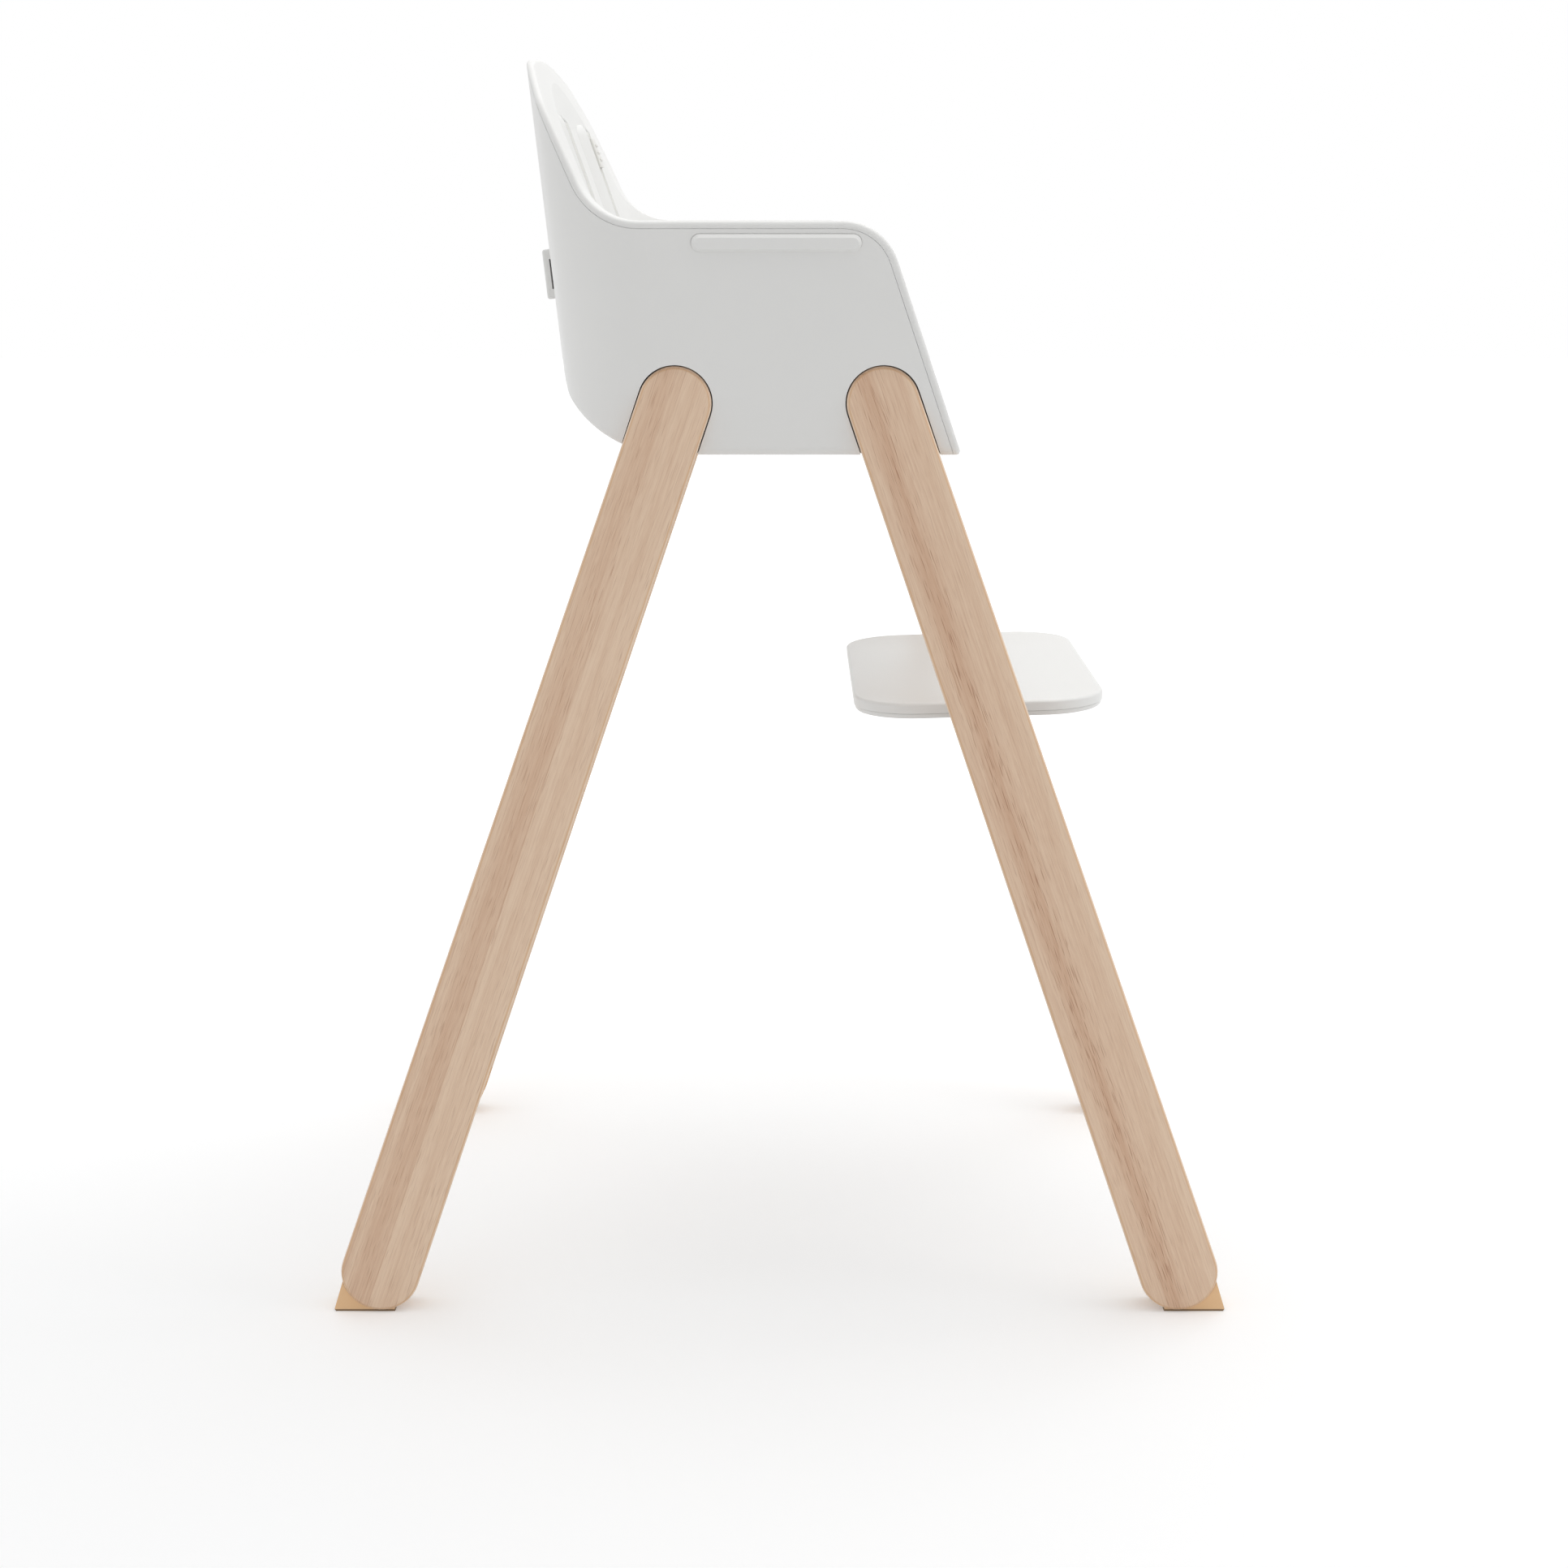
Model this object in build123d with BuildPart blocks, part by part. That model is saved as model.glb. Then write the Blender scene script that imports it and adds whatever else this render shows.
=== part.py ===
from build123d import *
import os
from math import atan, cos, radians, sin, sqrt, tan

# Baby high chair, millimetres. The origin is on the floor under the middle of the chair,
# +Z is up, the sitter looks along -Y, and the sitter's left is +X.

# Seat envelope
arm_height = 151.5
back_height = 262.0
bottom_half_width = 202.0
wall_flare = 10.85
rear_bottom_y = 149.5
back_recline = 5.9
rear_bow_radius = 1212.0
rear_corner_radius = 66.0
rear_bottom_round = 88.0
front_bottom_y = -121.0
front_lean = 19.5
arm_front_round = 38.0
rim_foot_y = 117.4
rim_lean = 24.5
rim_foot_round = 42.5
top_arch_radius = 968.0

# Shell walls and the rim where the two shells meet
shell_wall = 3.0
rim_width = 12.2
rim_depth = 5.0
rim_round = 2.5
skirt_round = 7.0
seam_gap = 0.15

# Inside of the bucket
pan_height = 32.5
pan_half_width = 155.0
pan_back_y = 89.6
pan_round = 30.0
back_knee_height = 216.8
back_knee_y = 154.2
bucket_corner_radius = 53.5

# Legs
leg_tilt = 19.38
leg_thickness = 27.0
leg_outer_x = 211.4
leg_top_width = 48.0
leg_foot_width = 55.8
leg_top_y = 68.3
leg_top_z = 642.9
leg_overlap = 34.9
leg_floor_gap = 1.5
leg_edge_round = 2.5
leg_pocket_gap = 0.8

# Feet
foot_lip = 10.0
foot_height = 24.0
foot_inset = 0.6
foot_step = 2.6
foot_gap = 0.3
foot_heel_ease = 1.6
foot_heel_reach = 34.4
foot_toe_reach = 9.4
foot_side_reach = 27.3
foot_side_z = 22.8
foot_screw_diameter = 4.0
foot_screw_head = 8.0
foot_screw_head_height = 2.4
foot_screw_bite = 7.0
foot_screw_up = 4.0

# Steel frame between the shells
bracket_thickness = 4.0
bracket_half_length = 88.0
bracket_over_leg = 19.1
bracket_floor_gap = 5.0
bracket_corner = 9.0
bracket_slope = 12.0
cross_bar_size = 20.0
cross_bar_wall = 1.5
cross_bar_y = 42.0
bolt_diameter = 6.0
bolt_head_diameter = 12.0
bolt_head_height = 4.5
bolt_pitch = 27.0
insert_diameter = 10.0
insert_length = 16.0
hole_clearance = 0.4
fit_clearance = 0.05

# Screws that hold the inner shell, the frame and the outer shell together
shell_screw_x = 85.0
shell_screw_diameter = 5.0
shell_screw_head = 9.6
shell_screw_head_height = 2.6
boss_diameter = 13.0

# Tray rails
rail_length = 109.2
rail_width = 11.3
rail_centre_y = 1.7
rail_drop = 13.8
rail_height = 3.0
rail_recess = 1.0
rail_groove = 0.2
rail_bevel = 2.0
rail_screw_pitch = 76.0
rail_screw_diameter = 3.0
rail_screw_head = 6.0
rail_screw_head_height = 2.2

# Strap keeper on the outside of the back
keeper_rise = 114.2
keeper_height = 35.2
keeper_width = 58.0
keeper_stand = 7.9
keeper_bridge = 4.4
keeper_foot = 7.0
keeper_rib = 4.0
keeper_round = 2.0
keeper_screw_pitch = 38.0
keeper_screw_diameter = 3.0
keeper_screw_head = 6.0
keeper_screw_head_height = 2.2
keeper_screw_bite = 4.5

# Harness
strap_width = 20.0
strap_thickness = 1.8
soft_gap = 0.3
strap_stand = 2.4
strap_tail = 4.0
strap_bend = 3.0
strap_pan_bend = 38.0
strap_turn_y = 38.0
strap_meet_y = 4.0
slot_x = 94.0
slot_width = 24.0
slot_height = 5.0
waist_slot_x = 115.0
waist_slot_y = 0.0
crotch_slot_y = -68.0
pan_slot_width = 6.0
anchor_thickness = 1.5
anchor_height = 9.0
anchor_length = 25.0
buckle_length = 50.0
buckle_width = 46.0
buckle_base_height = 8.0
buckle_cover_height = 6.0
buckle_corner = 9.0
buckle_wall = 2.0
button_length = 22.0
button_width = 15.0
button_stand = 1.6
button_gap = 0.4
button_lip = 2.0
button_flange = 1.5
buckle_round = 2.0
spring_wire = 0.7
spring_diameter = 6.0
tongue_blade_length = 13.0
tongue_blade_width = 14.0
tongue_blade_height = 3.0
tongue_width = 24.0
tongue_height = 5.0
tongue_grip = 9.0
tongue_round = 1.5
adjuster_drop = 16.2
adjuster_low_drop = 72.8
adjuster_length = 22.0
adjuster_width = 26.0
adjuster_wall = 1.6
adjuster_back = 1.0
adjuster_gap = 0.4
adjuster_round = 1.5

# Footrest
plate_width = 293.0
plate_depth = 178.2
plate_centre_y = -142.6
plate_bottom_z = 420.0
plate_height = 7.1
cover_height = 4.0
plate_tilt = 1.7
plate_corner = 45.0
plate_lip = 3.6
plate_dish = 3.2
plate_dish_reach = 46.0
plate_dish_levels = 4
plate_skin = 2.2
plate_edge_round = 2.0
cover_inset = 0.8
cover_edge_round = 2.5
cover_seam_bevel = 0.6
plate_boss = 9.0
arm_thickness = 6.5
arm_width = 34.0
arm_tongue_thickness = 5.0
arm_tongue_length = 92.0
arm_screw_pitch = 26.0
arm_screw_inset = 12.0
arm_screw_diameter = 4.0
arm_screw_head = 8.0
arm_screw_head_height = 2.6
arm_screw_bite = 3.0
clamp_drop = 24.0
track_width = 16.0
track_depth = 9.0
track_wall = 1.6
track_slot = 7.0
track_up = 68.0
track_down = 140.0
track_screw_diameter = 3.0
track_screw_head = 6.0
track_screw_head_height = 1.5
track_screw_inset = 8.0
track_screw_length = 12.0
shoe_length = 38.0
shoe_gap = 0.4
stud_diameter = 5.0
knob_diameter = 32.0
knob_height = 20.0
knob_scallop_radius = 6.0
knob_scallop_bite = 3.0
knob_scallops = 6
knob_round = 2.0
stud_seat = 6.0
face_gap = 0.3

sides = {"left": 1, "right": -1}
ends = {"rear": 1, "front": -1}

# Worked out from the values above
shell_bottom_z = leg_top_z - leg_overlap
arm_top_z = shell_bottom_z + arm_height
back_top_z = shell_bottom_z + back_height
pan_z = shell_bottom_z + pan_height
back_knee_z = shell_bottom_z + back_knee_height
bracket_top_z = leg_top_z + bracket_over_leg
rail_centre_z = arm_top_z - rail_drop
keeper_z = shell_bottom_z + keeper_rise
slot_z = back_knee_z
adjuster_z = slot_z - adjuster_drop
adjuster_low_z = slot_z - adjuster_low_drop
plate_seam_z = plate_bottom_z + cover_height
plate_top_z = plate_seam_z + plate_height
leg_inner_x = leg_outer_x - leg_thickness
leg_foot_z = leg_floor_gap + leg_foot_width / 2
leg_foot_y = leg_top_y + (leg_top_z - leg_foot_z) * tan(radians(leg_tilt))
leg_span = (leg_top_z - leg_foot_z) / cos(radians(leg_tilt))
foot_heel_y = leg_foot_y + foot_heel_reach
foot_toe_y = leg_foot_y - foot_toe_reach
foot_side_y = leg_foot_y + foot_side_reach
bolt_places = (leg_span, leg_span - bolt_pitch)
reach = 2 * (leg_outer_x + rear_corner_radius)
overshoot = 100.0
rear_relief = 0.6
bracket_x = leg_inner_x - shell_wall
frame_bottom_z = shell_bottom_z + bracket_floor_gap
frame_half_width = bracket_x - bracket_thickness
strap_floor_z = pan_z + soft_gap
cross_bar_top_z = frame_bottom_z + cross_bar_size
shell_screw_tip_z = pan_z - shell_wall
counterbore_z = shell_bottom_z + shell_wall
clamp_up = (plate_bottom_z - clamp_drop - leg_foot_z) / cos(radians(leg_tilt))
arm_outer_x = leg_inner_x - face_gap
arm_inner_x = arm_outer_x - arm_thickness
tongue_end_x = buckle_width / 2 + soft_gap + tongue_grip
strap_end_x = tongue_end_x + soft_gap
lower_strap_z = strap_floor_z + strap_thickness / 2
upper_strap_z = lower_strap_z + strap_thickness + soft_gap
strap_tail_z = pan_z - shell_wall - strap_tail
base_floor_z = strap_floor_z + buckle_wall
cover_z = strap_floor_z + buckle_base_height
cover_top_z = cover_z + buckle_cover_height
flange_top_z = cover_top_z - buckle_wall - face_gap
flange_bottom_z = flange_top_z - button_flange
blade_z = base_floor_z + soft_gap
arm_tongue_end_x = arm_outer_x - arm_tongue_length
shoe_end = track_depth - track_wall - shoe_gap
shell_screw_places = [(x, y) for x in (-shell_screw_x, shell_screw_x) for y in (-cross_bar_y, cross_bar_y)]

os.makedirs("parts", exist_ok=True)


def write(piece, name):
    """Labels a finished piece and writes its STEP file."""
    piece.label = name
    export_step(piece, f"parts/{name}.step")


def side_plane(x):
    """Sketch plane across the chair at x: its axes are the chair's Y and Z."""
    return Plane(origin=(x, 0, 0), x_dir=(0, 1, 0), z_dir=(1, 0, 0))


def front_plane(y):
    """Sketch plane facing the front at y: its axes are the chair's X and Z."""
    return Plane(origin=(0, y, 0), x_dir=(1, 0, 0), z_dir=(0, -1, 0))


def wall_x(z):
    """Half the width over the side walls at height z."""
    return bottom_half_width + (z - shell_bottom_z) * tan(radians(wall_flare))


def rear_y(z):
    """Outer face of the back in the middle of the chair at height z."""
    return rear_bottom_y + (z - shell_bottom_z) * tan(radians(back_recline))


def bow(x):
    """How far the bowed back lies forward of its middle at x."""
    return rear_bow_radius - sqrt(rear_bow_radius**2 - x**2)


def dish_y(z):
    """Inside face of the back in the middle of the chair at height z."""
    if z < back_knee_z:
        return pan_back_y + (z - pan_z) * (back_knee_y - pan_back_y) / (back_knee_z - pan_z)
    crest_y = rear_y(back_top_z) - rim_width
    return back_knee_y + (z - back_knee_z) * (crest_y - back_knee_y) / (back_top_z - back_knee_z)


def along_leg(end, up, across):
    """Point (Y, Z) on a leg: up its line from the foot centre, and across, outwards."""
    lean = radians(leg_tilt)
    y = leg_foot_y - up * sin(lean) + across * cos(lean)
    return (end * y, leg_foot_z + up * cos(lean) + across * sin(lean))


def leg_outline(end, grow):
    """Outline of a leg, round at both ends and a little wider at the foot."""
    with Locations((end * leg_top_y, leg_top_z)):
        Circle(leg_top_width / 2 + grow)
    with Locations((end * leg_foot_y, leg_foot_z)):
        Circle(leg_foot_width / 2 + grow)
    make_hull()


def plan_section(z, half, rear, front, corner):
    """Plan outline at height z: straight sides, bowed back, round rear corners."""
    side = rear - bow(half)
    with BuildSketch(Plane.XY.offset(z)) as plan:
        with BuildLine():
            Polyline((half, side), (half, front), (-half, front), (-half, side))
            ThreePointArc((-half, side), (0, rear), (half, side))
        make_face()
        fillet(plan.vertices().group_by(Axis.Y)[-1], corner)
    return plan.sketch


def side_profile(skin_inset, rim_inset):
    """Side outline of the seat, drawn in from the skin and from the rim."""
    front_slope = tan(radians(front_lean))
    rim_slope = tan(radians(rim_lean))
    rear_slope = tan(radians(back_recline))
    top = back_top_z + overshoot
    bottom = shell_bottom_z + skin_inset
    arm = arm_top_z - rim_inset
    front = front_bottom_y + rim_inset / cos(radians(front_lean))
    rim = rim_foot_y + rim_inset / cos(radians(rim_lean))
    rear = rear_bottom_y + rear_relief - skin_inset / cos(radians(back_recline))
    with BuildSketch(side_plane(-reach)) as outline:
        with BuildLine():
            Polyline(
                (front + (bottom - shell_bottom_z) * front_slope, bottom),
                (front + (arm - shell_bottom_z) * front_slope, arm),
                (rim + (arm - arm_top_z) * rim_slope, arm),
                (rim + (top - arm_top_z) * rim_slope, top),
                (rear + overshoot, top),
                (rear + overshoot, arm),
                (rear + (arm - shell_bottom_z) * rear_slope, arm),
                (rear + (bottom - shell_bottom_z) * rear_slope, bottom),
                close=True,
            )
        make_face()
        for corner, radius in ((1, rim_foot_round + rim_inset), (0, arm_front_round - rim_inset)):
            arm_corners = outline.vertices().filter_by(lambda v: abs(v.Y - arm) < 1).sort_by(Axis.X)
            fillet(arm_corners[corner], radius)
        rear_foot = outline.vertices().group_by(Axis.Y)[0].sort_by(Axis.X)[-1]
        fillet(rear_foot, rear_bottom_round - skin_inset)
    return outline.sketch


def top_arch(rim_inset):
    """Front outline of the seat under the arched top of the back."""
    crown = back_top_z - rim_inset
    eave = crown - top_arch_radius + sqrt(top_arch_radius**2 - reach**2)
    with BuildSketch(front_plane(reach)) as outline:
        with BuildLine():
            Polyline((-reach, eave), (-reach, 0), (reach, 0), (reach, eave))
            ThreePointArc((reach, eave), (0, crown), (-reach, eave))
        make_face()
    return outline.sketch


def seat_form(skin_inset, rim_inset):
    """Solid inside the seat's outer skin, drawn in from the skin and from the rim."""
    sections = []
    for z in (shell_bottom_z - overshoot, back_top_z + overshoot):
        half = wall_x(z) - skin_inset / cos(radians(wall_flare))
        rear = rear_y(z) - skin_inset / cos(radians(back_recline))
        sections.append(plan_section(z, half, rear, -reach, rear_corner_radius - skin_inset))
    with BuildPart() as form:
        loft(sections, ruled=True)
        extrude(side_profile(skin_inset, rim_inset), amount=2 * reach, mode=Mode.INTERSECT)
        extrude(top_arch(rim_inset), amount=2 * reach, mode=Mode.INTERSECT)
    return form.part


def skirt_edges(form):
    """Edges along the foot of the seat's side walls."""
    low = form.edges().filter_by(lambda edge: edge.bounding_box().max.Z < shell_bottom_z + shell_wall + 1)
    return low.filter_by(lambda edge: abs(edge.center().X) > pan_half_width)


def rim_edges(form):
    """Edges all along the rim, where the seat's skin runs out, and along the arch's inner side."""
    skin = form.faces().filter_by(lambda face: face.geom_type == GeomType.BSPLINE and face.area > 5000)
    arch = form.edges().filter_by(GeomType.ELLIPSE).filter_by(lambda edge: edge.center().Z > arm_top_z)
    for edge in form.edges().filter_by(lambda edge: edge.bounding_box().max.Z > bracket_top_z):
        if len([face for face in skin if any(edge.is_same(other) for other in face.edges())]) == 1:
            arch.append(edge)
    return arch


def bucket_form(grow):
    """Solid of the space inside the bucket, grown outwards by a wall."""
    floor = pan_z - grow
    top = back_top_z + overshoot
    rim_inside = wall_x(arm_top_z) - rim_width
    levels = [(floor, pan_half_width)]
    for z in (arm_top_z, back_knee_z, top):
        levels.append((z, rim_inside + wall_x(z) - wall_x(arm_top_z)))
    sections = []
    for z, half in levels:
        sections.append(plan_section(z, half + grow, dish_y(z) + grow, -reach, bucket_corner_radius + grow))
    with BuildPart() as form:
        loft(sections, ruled=True)
        floor_edges = form.faces().sort_by(Axis.Z)[0].edges()
        fillet(floor_edges.sort_by(Axis.Y)[1:], pan_round + grow)
    return form.part


def rail_plane(side):
    """Sketch plane on a side wall's outer face at the rail, along the chair's Y."""
    flare = radians(wall_flare)
    origin = (side * wall_x(rail_centre_z), 0, rail_centre_z)
    return Plane(origin=origin, x_dir=(0, 1, 0), z_dir=(side * cos(flare), 0, -sin(flare)))


def track_plane(side):
    """Sketch plane on a front leg's inner face at the clamp: its x runs up the leg."""
    y, z = along_leg(ends["front"], clamp_up, 0)
    lean = radians(leg_tilt)
    return Plane(origin=(side * leg_inner_x, y, z), x_dir=(0, sin(lean), cos(lean)), z_dir=(side, 0, 0))


def foot_seat(end):
    """Corners of the rebate at a leg's foot, square across the leg."""
    wide = leg_foot_width
    return [along_leg(end, up, across) for up, across in (
        (foot_height, -wide), (foot_height, wide), (-wide, wide), (-wide, -wide))]


def foot_wedge(end):
    """Corners of the foot's wedge, flat on the floor, eased at the heel, out past the round end."""
    eased_y = foot_heel_y + (foot_side_y - foot_heel_y) * foot_heel_ease / foot_side_z
    corners = (
        (foot_toe_y, 0),
        (foot_heel_y - foot_heel_ease, 0),
        (eased_y, foot_heel_ease),
        (foot_side_y, foot_side_z),
        (leg_foot_y, leg_foot_z),
    )
    return [(end * y, z) for y, z in corners]


def webbing(plane, course, bends):
    """Edge-on outline of a strap along a course, with a bend at each inner point."""
    with BuildSketch(plane) as outline:
        with BuildLine():
            FilletPolyline(*course, radius=bends)
        trace(line_width=strap_thickness)
    return outline.sketch


rail_screw_places = [(rail_centre_y + half * rail_screw_pitch / 2, 0) for half in (-1, 1)]
track_screw_places = [(track_up - track_screw_inset, 0), (track_screw_inset - track_down, 0)]
keeper_plane = Plane(
    origin=(0, rear_y(keeper_z), keeper_z),
    x_dir=(-1, 0, 0),
    z_dir=(0, cos(radians(back_recline)), -sin(radians(back_recline))),
)
keeper_screw_places = [
    (x, z)
    for x in (-keeper_screw_pitch / 2, keeper_screw_pitch / 2)
    for z in (-(keeper_height - keeper_foot) / 2, (keeper_height - keeper_foot) / 2)
]
keeper_seat = shell_wall + bow(keeper_width / 2)
plate_base = Plane(
    origin=(0, plate_centre_y, plate_bottom_z),
    x_dir=(1, 0, 0),
    z_dir=(0, sin(radians(plate_tilt)), cos(radians(plate_tilt))),
)
clamp_point = along_leg(ends["front"], clamp_up, 0)
tongue_point_y = along_leg(ends["front"], clamp_up + clamp_drop / cos(radians(leg_tilt)), 0)[0]
tongue_reach = (tongue_point_y - plate_centre_y) / cos(radians(plate_tilt))
arm_screw_places = [
    (side * (arm_tongue_end_x + arm_screw_inset + step * arm_screw_pitch), tongue_reach)
    for side in sides.values()
    for step in (0, 1)
]
strap_line_y = -bow(slot_x + strap_width / 2) - strap_stand - strap_thickness / 2
slot_back_y = dish_y(slot_z) + shell_wall + strap_tail
shoulder_course = (
    (slot_back_y, slot_z),
    (dish_y(slot_z) + strap_line_y, slot_z),
    (dish_y(upper_strap_z) + strap_line_y, upper_strap_z),
    (strap_turn_y, upper_strap_z),
)
back_slope = (back_knee_y - pan_back_y) / (back_knee_z - pan_z)

# Outer envelope of the seat and what lies deeper than the rim band
with BuildPart() as seat_body:
    add(seat_form(0, 0))
    fillet(skirt_edges(seat_body.part), skirt_round)
    fillet(rim_edges(seat_body.part), rim_round)

seat_core = seat_form(0, rim_depth)
bucket = bucket_form(0)

with BuildPart() as bucket_wall:
    add(bucket_form(shell_wall))
    add(seat_body.part, mode=Mode.INTERSECT)

# Bucket with its rim, strap slots and screw bosses
with BuildPart() as seat_inner_shell:
    add(seat_body.part)
    add(seat_core, mode=Mode.SUBTRACT)
    add(bucket_wall.part)
    add(bucket, mode=Mode.SUBTRACT)
    with Locations(*[(side * slot_x, dish_y(slot_z), slot_z) for side in sides.values()]):
        Box(slot_width, 8 * shell_wall, slot_height, mode=Mode.SUBTRACT)
    with Locations(*[(side * waist_slot_x, waist_slot_y, pan_z) for side in sides.values()]):
        Box(pan_slot_width, slot_width, 4 * shell_wall, mode=Mode.SUBTRACT)
    with Locations((0, crotch_slot_y, pan_z)):
        Box(slot_width, pan_slot_width, 4 * shell_wall, mode=Mode.SUBTRACT)
    with BuildSketch(Plane.XY.offset(cross_bar_top_z)):
        with Locations(*shell_screw_places):
            Circle(boss_diameter / 2)
    extrude(amount=pan_z - shell_wall / 2 - cross_bar_top_z)
    with BuildSketch(Plane.XY.offset(cross_bar_top_z)):
        with Locations(*shell_screw_places):
            Circle(shell_screw_diameter / 2 + fit_clearance)
    extrude(amount=shell_screw_tip_z - cross_bar_top_z + fit_clearance, mode=Mode.SUBTRACT)
write(seat_inner_shell.part, "seat_inner_shell")

# Outer shell with its leg pockets, rail recesses and screw seats
with BuildPart() as outer_skin:
    add(seat_form(0, rim_depth + seam_gap))
    fillet(skirt_edges(outer_skin.part), skirt_round)

with BuildPart() as outer_hollow:
    add(seat_form(shell_wall, -2 * rim_depth))
    fillet(skirt_edges(outer_hollow.part), skirt_round - shell_wall)

with BuildPart() as leg_pockets:
    for end in ends.values():
        for side in sides.values():
            with BuildSketch(side_plane(side * bracket_x)):
                leg_outline(end, leg_pocket_gap + shell_wall)
            extrude(amount=side * overshoot)
    add(outer_skin.part, mode=Mode.INTERSECT)

with BuildPart() as wall_cuts:
    for side in sides.values():
        with BuildSketch(rail_plane(side).offset(rail_height)):
            with Locations((rail_centre_y, 0)):
                SlotOverall(rail_length + 2 * rail_groove, rail_width + 2 * rail_groove)
        extrude(amount=-rail_height - rail_recess)
        with BuildSketch(rail_plane(side).offset(rail_height)):
            with Locations(*rail_screw_places):
                Circle(rail_screw_diameter / 2 + hole_clearance)
        extrude(amount=-rail_height - 2 * shell_wall)
    with BuildSketch(keeper_plane.offset(keeper_stand)):
        with Locations(*keeper_screw_places):
            Circle(keeper_screw_diameter / 2 + hole_clearance)
    extrude(amount=-keeper_stand - 2 * shell_wall)

with BuildPart() as seat_outer_shell:
    add(outer_skin.part)
    add(wall_cuts.part, mode=Mode.SUBTRACT)
    add(outer_hollow.part, mode=Mode.SUBTRACT)
    add(leg_pockets.part)
    for end in ends.values():
        for side in sides.values():
            with BuildSketch(side_plane(side * leg_inner_x)):
                leg_outline(end, leg_pocket_gap)
            extrude(amount=side * overshoot, mode=Mode.SUBTRACT)
            with BuildSketch(side_plane(side * bracket_x)):
                with Locations(*[along_leg(end, up, 0) for up in bolt_places]):
                    Circle(bolt_diameter / 2 + hole_clearance)
            extrude(amount=side * shell_wall, mode=Mode.SUBTRACT)
    with BuildSketch(Plane.XY.offset(counterbore_z)):
        with Locations(*shell_screw_places):
            Circle(boss_diameter / 2)
    extrude(amount=frame_bottom_z - counterbore_z)
    with BuildSketch(Plane.XY.offset(shell_bottom_z)):
        with Locations(*shell_screw_places):
            Circle(shell_screw_head / 2 + hole_clearance)
    extrude(amount=counterbore_z - shell_bottom_z, mode=Mode.SUBTRACT)
    with BuildSketch(Plane.XY.offset(counterbore_z)):
        with Locations(*shell_screw_places):
            Circle(shell_screw_diameter / 2 + hole_clearance)
    extrude(amount=frame_bottom_z - counterbore_z, mode=Mode.SUBTRACT)
write(seat_outer_shell.part, "seat_outer_shell")

# Screws up through the outer shell and the cross bars into the inner shell's bosses
with BuildPart() as shell_screws:
    with BuildSketch(Plane.XY.offset(counterbore_z)):
        with Locations(*shell_screw_places):
            Circle(shell_screw_head / 2)
    extrude(amount=-shell_screw_head_height)
    with BuildSketch(Plane.XY.offset(counterbore_z)):
        with Locations(*shell_screw_places):
            Circle(shell_screw_diameter / 2)
    extrude(amount=shell_screw_tip_z - counterbore_z)
write(shell_screws.part, "shell_screws")

# Legs, each let into its pocket, with a rebate for the foot and seats for the inserts
for end_name, end in ends.items():
    for side_name, side in sides.items():
        inner_plane = side_plane(side * leg_inner_x)
        with BuildPart() as leg:
            with BuildSketch(inner_plane):
                leg_outline(end, 0)
            extrude(amount=side * leg_thickness)
            broad_faces = leg.faces().filter_by(Axis.X)
            fillet(broad_faces.edges(), leg_edge_round)
            with BuildSketch(inner_plane):
                Polygon(*foot_seat(end), align=None)
            extrude(amount=side * (leg_thickness - foot_lip), mode=Mode.SUBTRACT)
            with BuildSketch(inner_plane):
                with Locations(*[along_leg(end, up, 0) for up in bolt_places]):
                    Circle(insert_diameter / 2 + fit_clearance)
            extrude(amount=side * (insert_length + fit_clearance), mode=Mode.SUBTRACT)
            with BuildSketch(side_plane(side * (leg_outer_x - foot_lip))):
                with Locations(along_leg(end, foot_screw_up, 0)):
                    Circle(foot_screw_diameter / 2 + fit_clearance)
            extrude(amount=side * (foot_screw_bite + fit_clearance), mode=Mode.SUBTRACT)
            if end_name == "front":
                with BuildSketch(track_plane(side)):
                    with Locations(((track_up - track_down) / 2, 0)):
                        Rectangle(track_up + track_down + 2 * fit_clearance, track_width + 2 * fit_clearance)
                extrude(amount=track_depth + fit_clearance, mode=Mode.SUBTRACT)
                with BuildSketch(track_plane(side)):
                    with Locations(*track_screw_places):
                        Circle(track_screw_diameter / 2 + fit_clearance)
                extrude(amount=track_depth + track_screw_length, mode=Mode.SUBTRACT)
        write(leg.part, f"leg_{end_name}_{side_name}")

        lip_plane = side_plane(side * (leg_outer_x - foot_lip))
        with BuildPart() as round_end:
            with BuildSketch(lip_plane):
                leg_outline(end, foot_gap)
            extrude(amount=side * foot_lip)

        with BuildPart() as shown_wedge:
            with BuildSketch(lip_plane):
                Polygon(*foot_wedge(end), align=None)
            extrude(amount=side * (foot_lip - foot_step))
            add(round_end.part, mode=Mode.SUBTRACT)

        with BuildPart() as foot:
            with BuildSketch(inner_plane):
                leg_outline(end, -foot_inset)
                Polygon(*foot_seat(end), align=None, mode=Mode.INTERSECT)
                Polygon(*foot_wedge(end), align=None)
            extrude(amount=side * (leg_thickness - foot_lip))
            add(shown_wedge.part)
            with BuildSketch(inner_plane):
                with Locations(along_leg(end, foot_screw_up, 0)):
                    Circle(foot_screw_head / 2 + hole_clearance)
            extrude(amount=side * foot_screw_head_height, mode=Mode.SUBTRACT)
            with BuildSketch(inner_plane):
                with Locations(along_leg(end, foot_screw_up, 0)):
                    Circle(foot_screw_diameter / 2 + hole_clearance)
            extrude(amount=side * leg_thickness, mode=Mode.SUBTRACT)
        write(foot.part, f"foot_{end_name}_{side_name}")

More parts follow.
